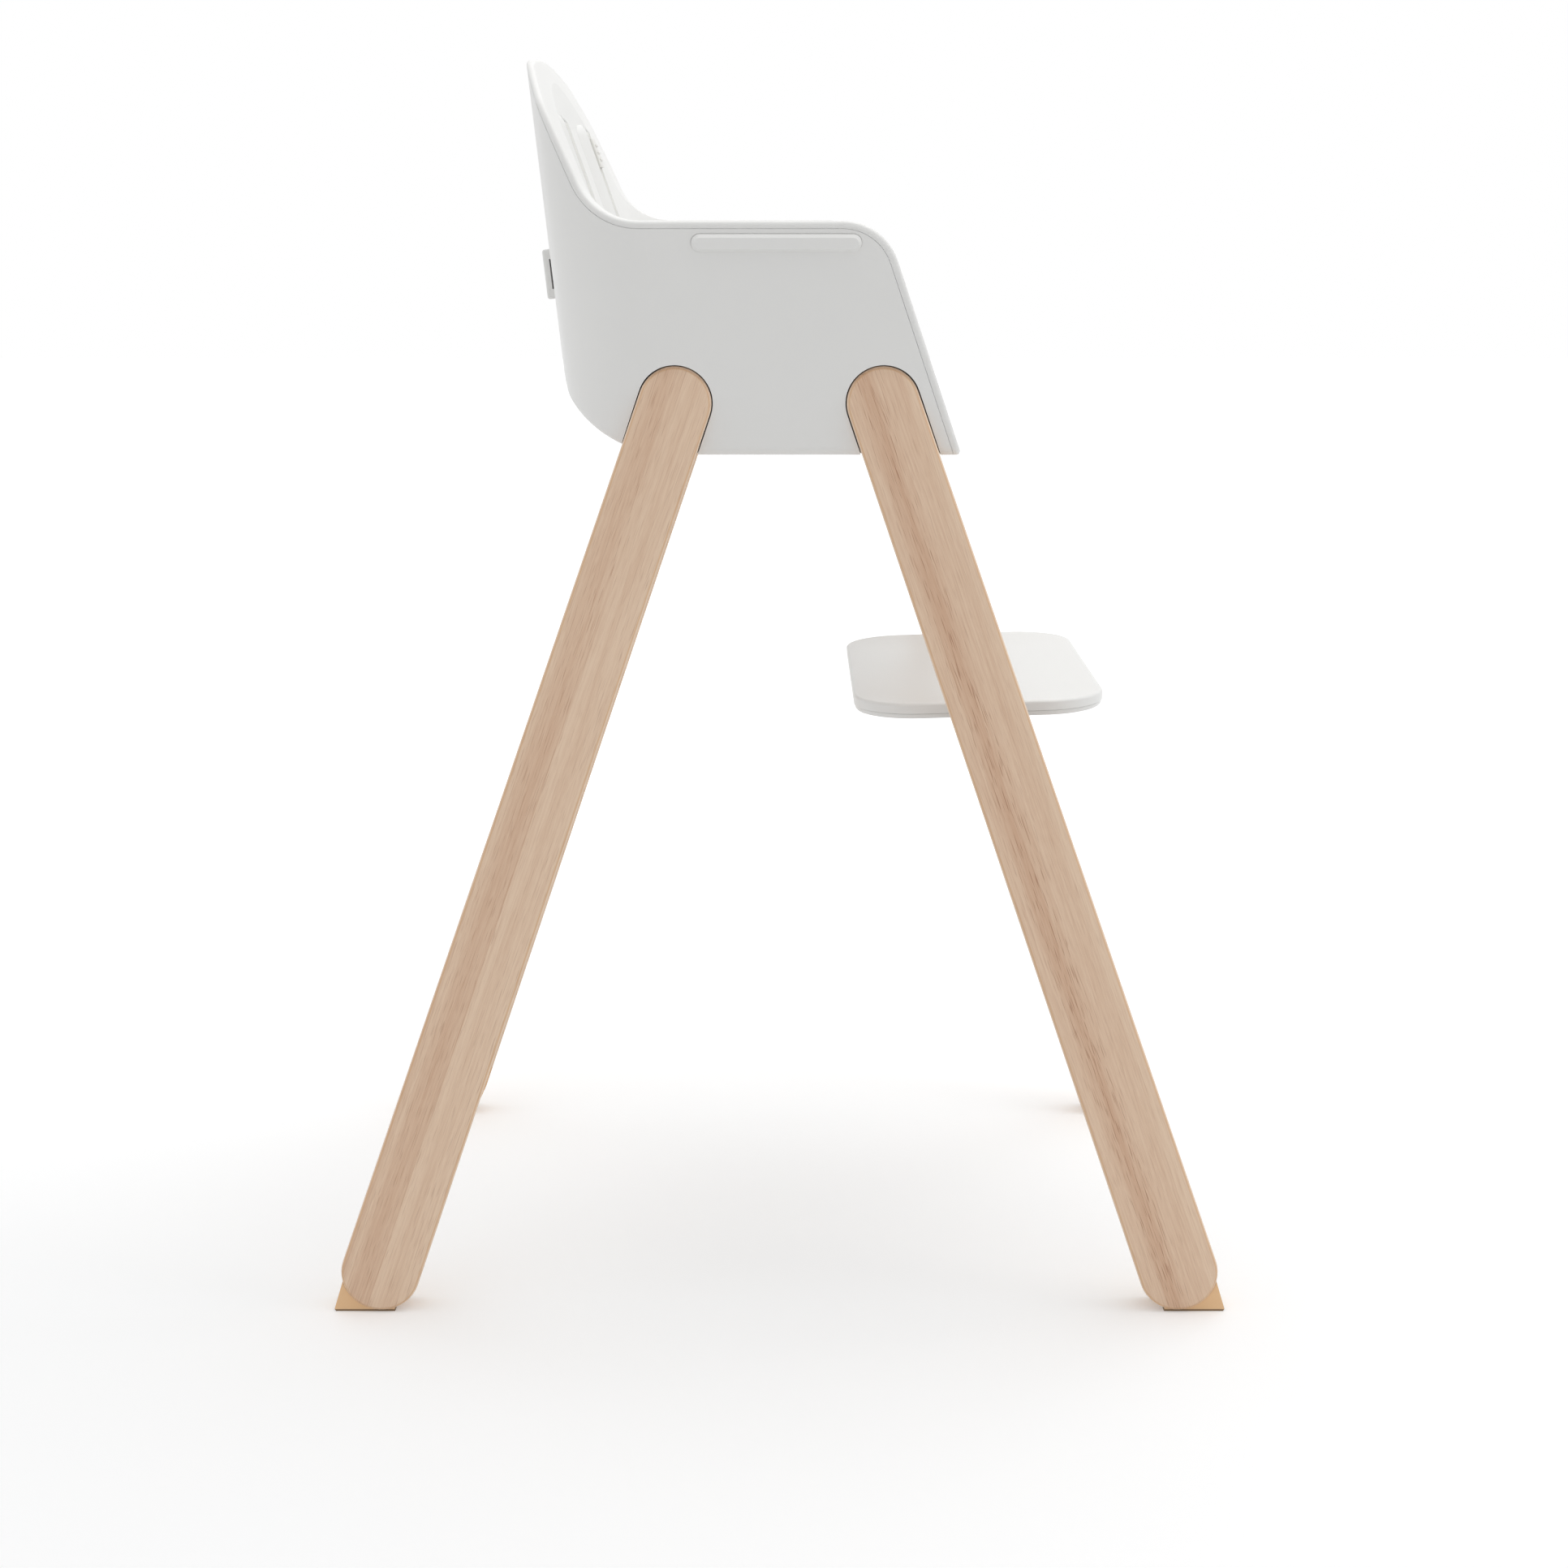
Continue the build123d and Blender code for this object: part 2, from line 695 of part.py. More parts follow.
# Screws that hold the feet, and the bolts and inserts that hold the legs
with BuildPart() as foot_screws:
    for end in ends.values():
        for side in sides.values():
            seat_plane = side_plane(side * leg_inner_x)
            with BuildSketch(seat_plane):
                with Locations(along_leg(end, foot_screw_up, 0)):
                    Circle(foot_screw_head / 2)
            extrude(amount=side * foot_screw_head_height)
            with BuildSketch(seat_plane):
                with Locations(along_leg(end, foot_screw_up, 0)):
                    Circle(foot_screw_diameter / 2)
            extrude(amount=side * (leg_thickness - foot_lip + foot_screw_bite))
write(foot_screws.part, "foot_screws")

with BuildPart() as leg_inserts:
    for end in ends.values():
        for side in sides.values():
            with BuildSketch(side_plane(side * leg_inner_x)):
                with Locations(*[along_leg(end, up, 0) for up in bolt_places]):
                    Circle(insert_diameter / 2)
                    Circle(bolt_diameter / 2 + fit_clearance, mode=Mode.SUBTRACT)
            extrude(amount=side * insert_length)
write(leg_inserts.part, "leg_inserts")

with BuildPart() as leg_bolts:
    for end in ends.values():
        for side in sides.values():
            with BuildSketch(side_plane(side * frame_half_width)):
                with Locations(*[along_leg(end, up, 0) for up in bolt_places]):
                    RegularPolygon(bolt_head_diameter / 2, 6)
            extrude(amount=-side * bolt_head_height)
            with BuildSketch(side_plane(side * frame_half_width)):
                with Locations(*[along_leg(end, up, 0) for up in bolt_places]):
                    Circle(bolt_diameter / 2)
            extrude(amount=side * (bracket_thickness + shell_wall + insert_length - bolt_diameter / 2))
write(leg_bolts.part, "leg_bolts")

# Steel frame: a bracket behind each pair of pockets, and two cross bars between the brackets
for side_name, side in sides.items():
    with BuildPart() as leg_bracket:
        with BuildSketch(side_plane(side * frame_half_width)) as bracket_outline:
            Polygon(
                (-bracket_half_length, frame_bottom_z),
                (bracket_half_length, frame_bottom_z),
                (bracket_half_length - bracket_slope, bracket_top_z),
                (bracket_slope - bracket_half_length, bracket_top_z),
                align=None,
            )
            fillet(bracket_outline.vertices(), bracket_corner)
            for end in ends.values():
                with Locations(*[along_leg(end, up, 0) for up in bolt_places]):
                    Circle(bolt_diameter / 2 + hole_clearance, mode=Mode.SUBTRACT)
        extrude(amount=side * bracket_thickness)
    write(leg_bracket.part, f"leg_bracket_{side_name}")

for end_name, end in ends.items():
    with BuildPart() as cross_bar:
        with BuildSketch(side_plane(-frame_half_width)):
            with Locations((end * cross_bar_y, frame_bottom_z + cross_bar_size / 2)):
                Rectangle(cross_bar_size, cross_bar_size)
                hollow = cross_bar_size - 2 * cross_bar_wall
                Rectangle(hollow, hollow, mode=Mode.SUBTRACT)
        extrude(amount=2 * frame_half_width)
        with BuildSketch(Plane.XY.offset(frame_bottom_z)):
            with Locations((-shell_screw_x, end * cross_bar_y), (shell_screw_x, end * cross_bar_y)):
                Circle(shell_screw_diameter / 2 + hole_clearance)
        extrude(amount=cross_bar_size, mode=Mode.SUBTRACT)
    write(cross_bar.part, f"cross_bar_{end_name}")

# Tray rails on the side walls and their screws from inside
for side_name, side in sides.items():
    with BuildPart() as tray_rail:
        with BuildSketch(rail_plane(side).offset(-rail_recess)):
            with Locations((rail_centre_y, 0)):
                SlotOverall(rail_length, rail_width)
        extrude(amount=rail_recess + rail_height)
        outer_face = tray_rail.faces().sort_by(Axis.X)[-1 if side > 0 else 0]
        chamfer(outer_face.edges(), rail_bevel)
        with BuildSketch(rail_plane(side).offset(-rail_recess)):
            with Locations(*rail_screw_places):
                Circle(rail_screw_diameter / 2 + fit_clearance)
        extrude(amount=rail_height, mode=Mode.SUBTRACT)
    write(tray_rail.part, f"tray_rail_{side_name}")

with BuildPart() as rail_screws:
    for side in sides.values():
        with BuildSketch(rail_plane(side).offset(-shell_wall)):
            with Locations(*rail_screw_places):
                Circle(rail_screw_head / 2)
        extrude(amount=-rail_screw_head_height)
        with BuildSketch(rail_plane(side).offset(-shell_wall)):
            with Locations(*rail_screw_places):
                Circle(rail_screw_diameter / 2)
        extrude(amount=shell_wall - rail_recess + rail_height - fit_clearance)
write(rail_screws.part, "rail_screws")

# Strap keeper: a bridge on two feet across the outside of the back, and its screws
with BuildPart() as strap_keeper:
    with BuildSketch(keeper_plane):
        RectangleRounded(keeper_width, keeper_height, keeper_round)
    extrude(amount=keeper_stand)
    with BuildSketch(keeper_plane):
        Rectangle(keeper_width, keeper_height - 2 * keeper_foot)
        Rectangle(keeper_rib, keeper_height, mode=Mode.SUBTRACT)
    extrude(amount=keeper_stand - keeper_bridge, mode=Mode.SUBTRACT)
    fillet(strap_keeper.faces().sort_by(Axis.Y)[-1].edges(), keeper_round)
    with BuildSketch(keeper_plane):
        with Locations(*keeper_screw_places):
            Circle(keeper_screw_diameter / 2 + fit_clearance)
    extrude(amount=keeper_screw_bite, mode=Mode.SUBTRACT)
write(strap_keeper.part, "strap_keeper")

with BuildPart() as keeper_screws:
    with BuildSketch(keeper_plane.offset(-keeper_seat)):
        with Locations(*keeper_screw_places):
            Circle(keeper_screw_head / 2)
    extrude(amount=-keeper_screw_head_height)
    with BuildSketch(keeper_plane.offset(-keeper_seat)):
        with Locations(*keeper_screw_places):
            Circle(keeper_screw_diameter / 2)
    extrude(amount=keeper_seat + keeper_screw_bite - fit_clearance)
write(keeper_screws.part, "keeper_screws")

# Harness webbing: shoulder straps down the back and over to the buckle
slant = (strap_turn_y - strap_meet_y) / (slot_x - strap_end_x)
half_across = strap_width / 2 * sqrt(1 + slant**2)
outer_edge_x = slot_x + strap_width / 2
outer_edge_y = strap_meet_y + slant * (outer_edge_x - strap_end_x)

for side_name, side in sides.items():
    with BuildPart() as shoulder_strap:
        back_run = webbing(
            side_plane(side * slot_x - strap_width / 2), shoulder_course, (strap_bend, strap_pan_bend)
        )
        extrude(back_run, amount=strap_width)
        with BuildSketch(Plane.XY.offset(upper_strap_z - strap_thickness / 2)):
            Polygon(
                (side * strap_end_x, strap_meet_y - half_across),
                (side * outer_edge_x, outer_edge_y - half_across),
                (side * outer_edge_x, outer_edge_y + half_across),
                (side * strap_end_x, strap_meet_y + half_across),
                align=None,
            )
        extrude(amount=strap_thickness)
    write(shoulder_strap.part, f"shoulder_strap_{side_name}")

    with BuildPart() as waist_strap:
        waist_course = (
            (side * waist_slot_x, strap_tail_z),
            (side * waist_slot_x, lower_strap_z),
            (side * strap_end_x, lower_strap_z),
        )
        extrude(
            webbing(front_plane(waist_slot_y + strap_width / 2), waist_course, (strap_bend,)),
            amount=strap_width,
        )
    write(waist_strap.part, f"waist_strap_{side_name}")

    strap_lean = atan(back_slope)
    rest_z = adjuster_z if side_name == "left" else adjuster_low_z
    adjuster_plane = Plane(
        origin=(side * slot_x, dish_y(rest_z) + strap_line_y, rest_z),
        x_dir=(1, 0, 0),
        z_dir=(0, sin(strap_lean), cos(strap_lean)),
    )
    with BuildPart() as strap_adjuster:
        with BuildSketch(adjuster_plane):
            sleeve = strap_thickness + 2 * adjuster_gap
            with Locations((0, (adjuster_back - adjuster_wall) / 2)):
                RectangleRounded(adjuster_width, sleeve + adjuster_wall + adjuster_back, adjuster_round)
            Rectangle(strap_width + 2 * adjuster_gap, sleeve, mode=Mode.SUBTRACT)
        extrude(amount=adjuster_length / 2, both=True)
    write(strap_adjuster.part, f"strap_adjuster_{side_name}")

with BuildPart() as crotch_strap:
    crotch_course = (
        (crotch_slot_y, strap_tail_z),
        (crotch_slot_y, lower_strap_z),
        (-buckle_length / 2 - soft_gap, lower_strap_z),
    )
    extrude(webbing(side_plane(-strap_width / 2), crotch_course, (strap_bend,)), amount=strap_width)
write(crotch_strap.part, "crotch_strap")

# Plates on the strap tails behind the back and under the pan
with BuildPart() as strap_anchors:
    anchor_y = slot_back_y + soft_gap + anchor_thickness / 2
    anchor_z = strap_tail_z - soft_gap - anchor_thickness / 2
    with Locations(*[(side * slot_x, anchor_y, slot_z) for side in sides.values()]):
        Box(anchor_length, anchor_thickness, anchor_height)
    with Locations(*[(side * waist_slot_x, waist_slot_y, anchor_z) for side in sides.values()]):
        Box(anchor_height, anchor_length, anchor_thickness)
    with Locations((0, crotch_slot_y, anchor_z)):
        Box(anchor_length, anchor_height, anchor_thickness)
write(strap_anchors.part, "strap_anchors")

# Buckle: base, cover, the release button and the spring under it
with BuildPart() as buckle_base:
    with BuildSketch(Plane.XY.offset(strap_floor_z)):
        RectangleRounded(buckle_width, buckle_length, buckle_corner)
    extrude(amount=buckle_base_height)
    with BuildSketch(Plane.XY.offset(base_floor_z)):
        RectangleRounded(
            buckle_width - 2 * buckle_wall, buckle_length - 2 * buckle_wall, buckle_corner - buckle_wall
        )
    extrude(amount=buckle_base_height, mode=Mode.SUBTRACT)
    with BuildSketch(Plane.XY.offset(base_floor_z)):
        Rectangle(2 * buckle_width, tongue_blade_width + 2 * button_gap)
    extrude(amount=tongue_blade_height + 2 * soft_gap, mode=Mode.SUBTRACT)
write(buckle_base.part, "buckle_base")

with BuildPart() as buckle_cover:
    with BuildSketch(Plane.XY.offset(cover_z)):
        RectangleRounded(buckle_width, buckle_length, buckle_corner)
    extrude(amount=buckle_cover_height)
    fillet(buckle_cover.faces().sort_by(Axis.Z)[-1].edges(), buckle_round)
    with BuildSketch(Plane.XY.offset(cover_z)):
        RectangleRounded(
            buckle_width - 2 * buckle_wall, buckle_length - 2 * buckle_wall, buckle_corner - buckle_wall
        )
    extrude(amount=buckle_cover_height - buckle_wall, mode=Mode.SUBTRACT)
    with BuildSketch(Plane.XY.offset(cover_z)):
        RectangleRounded(button_width + 2 * button_gap, button_length + 2 * button_gap, buckle_round)
    extrude(amount=2 * buckle_cover_height, mode=Mode.SUBTRACT)
write(buckle_cover.part, "buckle_cover")

with BuildPart() as buckle_button:
    with BuildSketch(Plane.XY.offset(flange_bottom_z)):
        Rectangle(button_width + 2 * button_lip, button_length + 2 * button_lip)
    extrude(amount=button_flange)
    with BuildSketch(Plane.XY.offset(flange_top_z)):
        RectangleRounded(button_width, button_length, buckle_round)
    extrude(amount=cover_top_z + button_stand - flange_top_z)
    fillet(buckle_button.faces().sort_by(Axis.Z)[-1].edges(), button_stand / 2)
write(buckle_button.part, "buckle_button")

with BuildPart() as buckle_spring:
    with BuildSketch(Plane.XY.offset(base_floor_z)):
        Circle(spring_diameter / 2)
        Circle(spring_diameter / 2 - spring_wire, mode=Mode.SUBTRACT)
    extrude(amount=flange_bottom_z - base_floor_z)
write(buckle_spring.part, "buckle_spring")

for side_name, side in sides.items():
    with BuildPart() as buckle_tongue:
        grip_start = buckle_width / 2 + soft_gap
        with BuildSketch(Plane.XY.offset(strap_floor_z)):
            with Locations((side * (grip_start + tongue_end_x) / 2, 0)):
                RectangleRounded(tongue_grip, tongue_width, tongue_round)
        extrude(amount=tongue_height)
        with BuildSketch(Plane.XY.offset(blade_z)):
            with Locations((side * (grip_start + tongue_round - tongue_blade_length / 2), 0)):
                Rectangle(tongue_blade_length + 2 * tongue_round, tongue_blade_width)
        extrude(amount=tongue_blade_height)
    write(buckle_tongue.part, f"buckle_tongue_{side_name}")

# Footrest plate, dished on top and hollow below, and the cover under it
plate_upright = Axis(plate_base.origin, plate_base.z_dir)
plate_top = plate_base.offset(plate_top_z - plate_bottom_z)
plate_seam = plate_base.offset(plate_seam_z - plate_bottom_z)
dish_sections = []
for level in range(plate_dish_levels + 1):
    share = level / plate_dish_levels
    inset = plate_lip + plate_dish_reach * share
    with BuildSketch(plate_top.offset(-plate_dish * (1 - (1 - share) ** 2))) as ring:
        RectangleRounded(
            plate_width - 2 * inset,
            plate_depth - 2 * inset,
            (plate_corner - plate_lip) * (1 - 0.7 * share),
        )
    dish_sections.append(ring.sketch)

with BuildPart() as footrest_plate:
    with BuildSketch(plate_seam):
        RectangleRounded(plate_width, plate_depth, plate_corner)
    extrude(amount=plate_top_z - plate_seam_z)
    fillet(footrest_plate.faces().sort_by(plate_upright)[-1].edges(), plate_edge_round)
    loft(dish_sections, ruled=True, mode=Mode.SUBTRACT)
    hollow_height = plate_top_z - plate_dish - plate_skin - plate_seam_z
    with BuildSketch(plate_seam):
        RectangleRounded(
            plate_width - 2 * shell_wall, plate_depth - 2 * shell_wall, plate_corner - shell_wall
        )
        with Locations(*arm_screw_places):
            Circle(plate_boss / 2, mode=Mode.SUBTRACT)
    extrude(amount=hollow_height, mode=Mode.SUBTRACT)
    with BuildSketch(plate_seam):
        with Locations(*arm_screw_places):
            Circle(arm_screw_diameter / 2 + fit_clearance)
    extrude(amount=arm_screw_bite, mode=Mode.SUBTRACT)
write(footrest_plate.part, "footrest_plate")

with BuildPart() as footrest_cover:
    with BuildSketch(plate_base):
        RectangleRounded(
            plate_width - 2 * cover_inset, plate_depth - 2 * cover_inset, plate_corner - cover_inset
        )
    extrude(amount=plate_seam_z - plate_bottom_z)
    fillet(footrest_cover.faces().sort_by(plate_upright)[0].edges(), cover_edge_round)
    chamfer(footrest_cover.faces().sort_by(plate_upright)[-1].edges(), cover_seam_bevel)
    with BuildSketch(plate_base):
        with Locations(*arm_screw_places):
            Circle(arm_screw_diameter / 2 + hole_clearance)
    extrude(amount=plate_seam_z - plate_bottom_z, mode=Mode.SUBTRACT)
write(footrest_cover.part, "footrest_cover")

tongue_base = plate_base.offset(-arm_tongue_thickness)
with BuildPart() as arm_screws:
    with BuildSketch(tongue_base):
        with Locations(*arm_screw_places):
            Circle(arm_screw_head / 2)
    extrude(amount=-arm_screw_head_height)
    with BuildSketch(tongue_base):
        with Locations(*arm_screw_places):
            Circle(arm_screw_diameter / 2)
    extrude(amount=arm_tongue_thickness + plate_seam_z - plate_bottom_z + arm_screw_bite - fit_clearance)
write(arm_screws.part, "arm_screws")

# Arms that carry the plate, the tracks let into the front legs, and the clamps
tongue_middle = tongue_base.offset(arm_tongue_thickness / 2).from_local_coords((0, tongue_reach, 0))
for side_name, side in sides.items():
    with BuildPart() as footrest_arm:
        with BuildSketch(side_plane(side * arm_inner_x)):
            with Locations(clamp_point):
                Circle(arm_width / 2)
            with Locations((tongue_middle.Y, tongue_middle.Z)):
                Rectangle(arm_width, arm_tongue_thickness, rotation=-plate_tilt)
            make_hull()
            with Locations(clamp_point):
                Circle(stud_diameter / 2 + fit_clearance, mode=Mode.SUBTRACT)
        extrude(amount=side * arm_thickness)
        with BuildSketch(tongue_base):
            with Locations((side * (arm_tongue_end_x + arm_outer_x) / 2, tongue_reach)):
                Rectangle(arm_tongue_length, arm_width)
            with Locations(*arm_screw_places):
                Circle(arm_screw_diameter / 2 + hole_clearance, mode=Mode.SUBTRACT)
        extrude(amount=arm_tongue_thickness)
    write(footrest_arm.part, f"footrest_arm_{side_name}")

    with BuildPart() as footrest_track:
        track_middle = ((track_up - track_down) / 2, 0)
        track_length = track_up + track_down
        with BuildSketch(track_plane(side)):
            with Locations(track_middle):
                Rectangle(track_length, track_width)
        extrude(amount=track_depth)
        with BuildSketch(track_plane(side).offset(track_wall)):
            with Locations(track_middle):
                Rectangle(track_length, track_width - 2 * track_wall)
        extrude(amount=track_depth - 2 * track_wall, mode=Mode.SUBTRACT)
        with BuildSketch(track_plane(side)):
            with Locations(track_middle):
                Rectangle(track_length, track_slot)
        extrude(amount=track_wall, mode=Mode.SUBTRACT)
        with BuildSketch(track_plane(side)):
            with Locations(*track_screw_places):
                Circle(track_screw_diameter / 2 + hole_clearance)
        extrude(amount=track_depth, mode=Mode.SUBTRACT)
    write(footrest_track.part, f"footrest_track_{side_name}")

    with BuildPart() as track_shoe:
        with BuildSketch(track_plane(side).offset(track_wall + shoe_gap)):
            Rectangle(shoe_length, track_width - 2 * track_wall - 2 * shoe_gap)
        extrude(amount=shoe_end - track_wall - shoe_gap)
        with BuildSketch(track_plane(side).offset(-face_gap)):
            Rectangle(shoe_length, track_slot - 2 * shoe_gap)
        extrude(amount=face_gap + track_wall + shoe_gap)
        with BuildSketch(track_plane(side).offset(-face_gap)):
            Circle(stud_diameter / 2 + fit_clearance)
        extrude(amount=face_gap + track_depth, mode=Mode.SUBTRACT)
    write(track_shoe.part, f"track_shoe_{side_name}")

    knob_face = side_plane(side * (arm_inner_x - face_gap))
    with BuildPart() as clamp_knob:
        with BuildSketch(knob_face):
            with Locations(clamp_point):
                Circle(knob_diameter / 2)
                scallop_centre = knob_diameter / 2 + knob_scallop_radius - knob_scallop_bite
                with PolarLocations(scallop_centre, knob_scallops):
                    Circle(knob_scallop_radius, mode=Mode.SUBTRACT)
        extrude(amount=-side * knob_height)
        fillet(clamp_knob.faces().sort_by(Axis.X)[0 if side > 0 else -1].edges(), knob_round)
        with BuildSketch(knob_face):
            with Locations(clamp_point):
                Circle(stud_diameter / 2 + fit_clearance)
        extrude(amount=-side * stud_seat, mode=Mode.SUBTRACT)
    write(clamp_knob.part, f"clamp_knob_{side_name}")

    with BuildPart() as clamp_stud:
        stud_start = arm_inner_x - face_gap - stud_seat
        with BuildSketch(side_plane(side * stud_start)):
            with Locations(clamp_point):
                Circle(stud_diameter / 2)
        extrude(amount=side * (leg_inner_x + shoe_end - stud_start))
    write(clamp_stud.part, f"clamp_stud_{side_name}")

with BuildPart() as track_screws:
    for side in sides.values():
        with BuildSketch(track_plane(side).offset(track_depth - track_wall)):
            with Locations(*track_screw_places):
                Circle(track_screw_head / 2)
        extrude(amount=-track_screw_head_height)
        with BuildSketch(track_plane(side).offset(track_depth - track_wall)):
            with Locations(*track_screw_places):
                Circle(track_screw_diameter / 2)
        extrude(amount=track_screw_length)
write(track_screws.part, "track_screws")
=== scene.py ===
"""Looks of a baby high chair: a moulded seat on four splayed wooden legs, with a sliding footrest.

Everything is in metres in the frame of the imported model: the floor is Z = 0, the sitter looks
along -Y and the sitter's left is +X.
"""

import logging
import math
from dataclasses import dataclass, field
from enum import Enum

import bmesh
import bpy
from mathutils import Matrix, Vector


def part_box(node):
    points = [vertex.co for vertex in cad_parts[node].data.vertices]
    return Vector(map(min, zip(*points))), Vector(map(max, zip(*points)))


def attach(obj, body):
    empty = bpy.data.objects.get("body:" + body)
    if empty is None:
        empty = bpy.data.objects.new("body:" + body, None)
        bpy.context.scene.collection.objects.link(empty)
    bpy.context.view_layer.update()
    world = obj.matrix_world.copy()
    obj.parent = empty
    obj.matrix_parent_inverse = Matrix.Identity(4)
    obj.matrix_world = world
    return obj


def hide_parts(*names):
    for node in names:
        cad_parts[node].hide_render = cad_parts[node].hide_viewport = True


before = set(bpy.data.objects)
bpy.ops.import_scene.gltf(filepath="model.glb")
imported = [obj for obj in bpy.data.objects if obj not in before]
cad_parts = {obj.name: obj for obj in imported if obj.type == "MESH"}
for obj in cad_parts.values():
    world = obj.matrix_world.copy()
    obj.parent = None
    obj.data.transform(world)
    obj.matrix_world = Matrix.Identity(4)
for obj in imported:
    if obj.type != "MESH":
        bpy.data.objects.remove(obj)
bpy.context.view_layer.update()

log = logging.getLogger("high_chair")

Pair = tuple[float, float]
Triple = tuple[float, float, float]
Stops = tuple[Pair, ...]
Socket = bpy.types.NodeSocket

LEG_TILT = math.radians(19.38)
LEG_AXIS_SHIFT = 0.2778
LEG_WIDTH = 0.056
FULL_TURN = 2.0 * math.pi
QUARTER_TURN = math.pi / 2.0
SMOOTH_ANGLE = math.radians(40.0)
TOUCHING = 1e-5

# Places of the Mix node's colour sockets, which share their names with its other sockets
MIX_FIRST = 6
MIX_SECOND = 7
MIX_RESULT = 2


class End(Enum):
    """The two ends of the chair, by the sign of their Y."""

    REAR = 1
    FRONT = -1


class Side(Enum):
    """The sitter's two sides, by the sign of their X."""

    LEFT = 1
    RIGHT = -1


class NodeBoard:
    """The nodes of one material or world, added and linked by name."""

    def __init__(self, tree: bpy.types.NodeTree) -> None:
        """Takes up a node tree.

        Args:
            tree: where the nodes go.
        """
        self.tree = tree

    def add(self, kind: str, **settings: object) -> bpy.types.ShaderNode:
        """Adds a node.

        Args:
            kind: the node's type name without its ShaderNode prefix.
            settings: properties of the node.

        Returns:
            The new node.
        """
        node = self.tree.nodes.new("ShaderNode" + kind)
        for key, value in settings.items():
            setattr(node, key, value)
        return node

    def link(self, source: Socket, target: Socket) -> None:
        """Joins an output to an input."""
        self.tree.links.new(source, target)

    def calc(self, kind: str, *terms: object) -> Socket:
        """Returns a Math node's result.

        Args:
            kind: the operation.
            terms: sockets or numbers.

        Returns:
            The value.
        """
        node = self.add("Math", operation=kind)
        for socket, term in zip(node.inputs, terms):
            if isinstance(term, Socket):
                self.link(term, socket)
            else:
                socket.default_value = term
        return node.outputs["Value"]

    def seen(self) -> Socket:
        """Returns 1 for rays that look at the backdrop straight, by gloss or through glass."""
        path = self.add("LightPath").outputs
        direct = self.calc("MAXIMUM", path["Is Camera Ray"], path["Is Glossy Ray"])
        return self.calc("MAXIMUM", direct, path["Is Transmission Ray"])


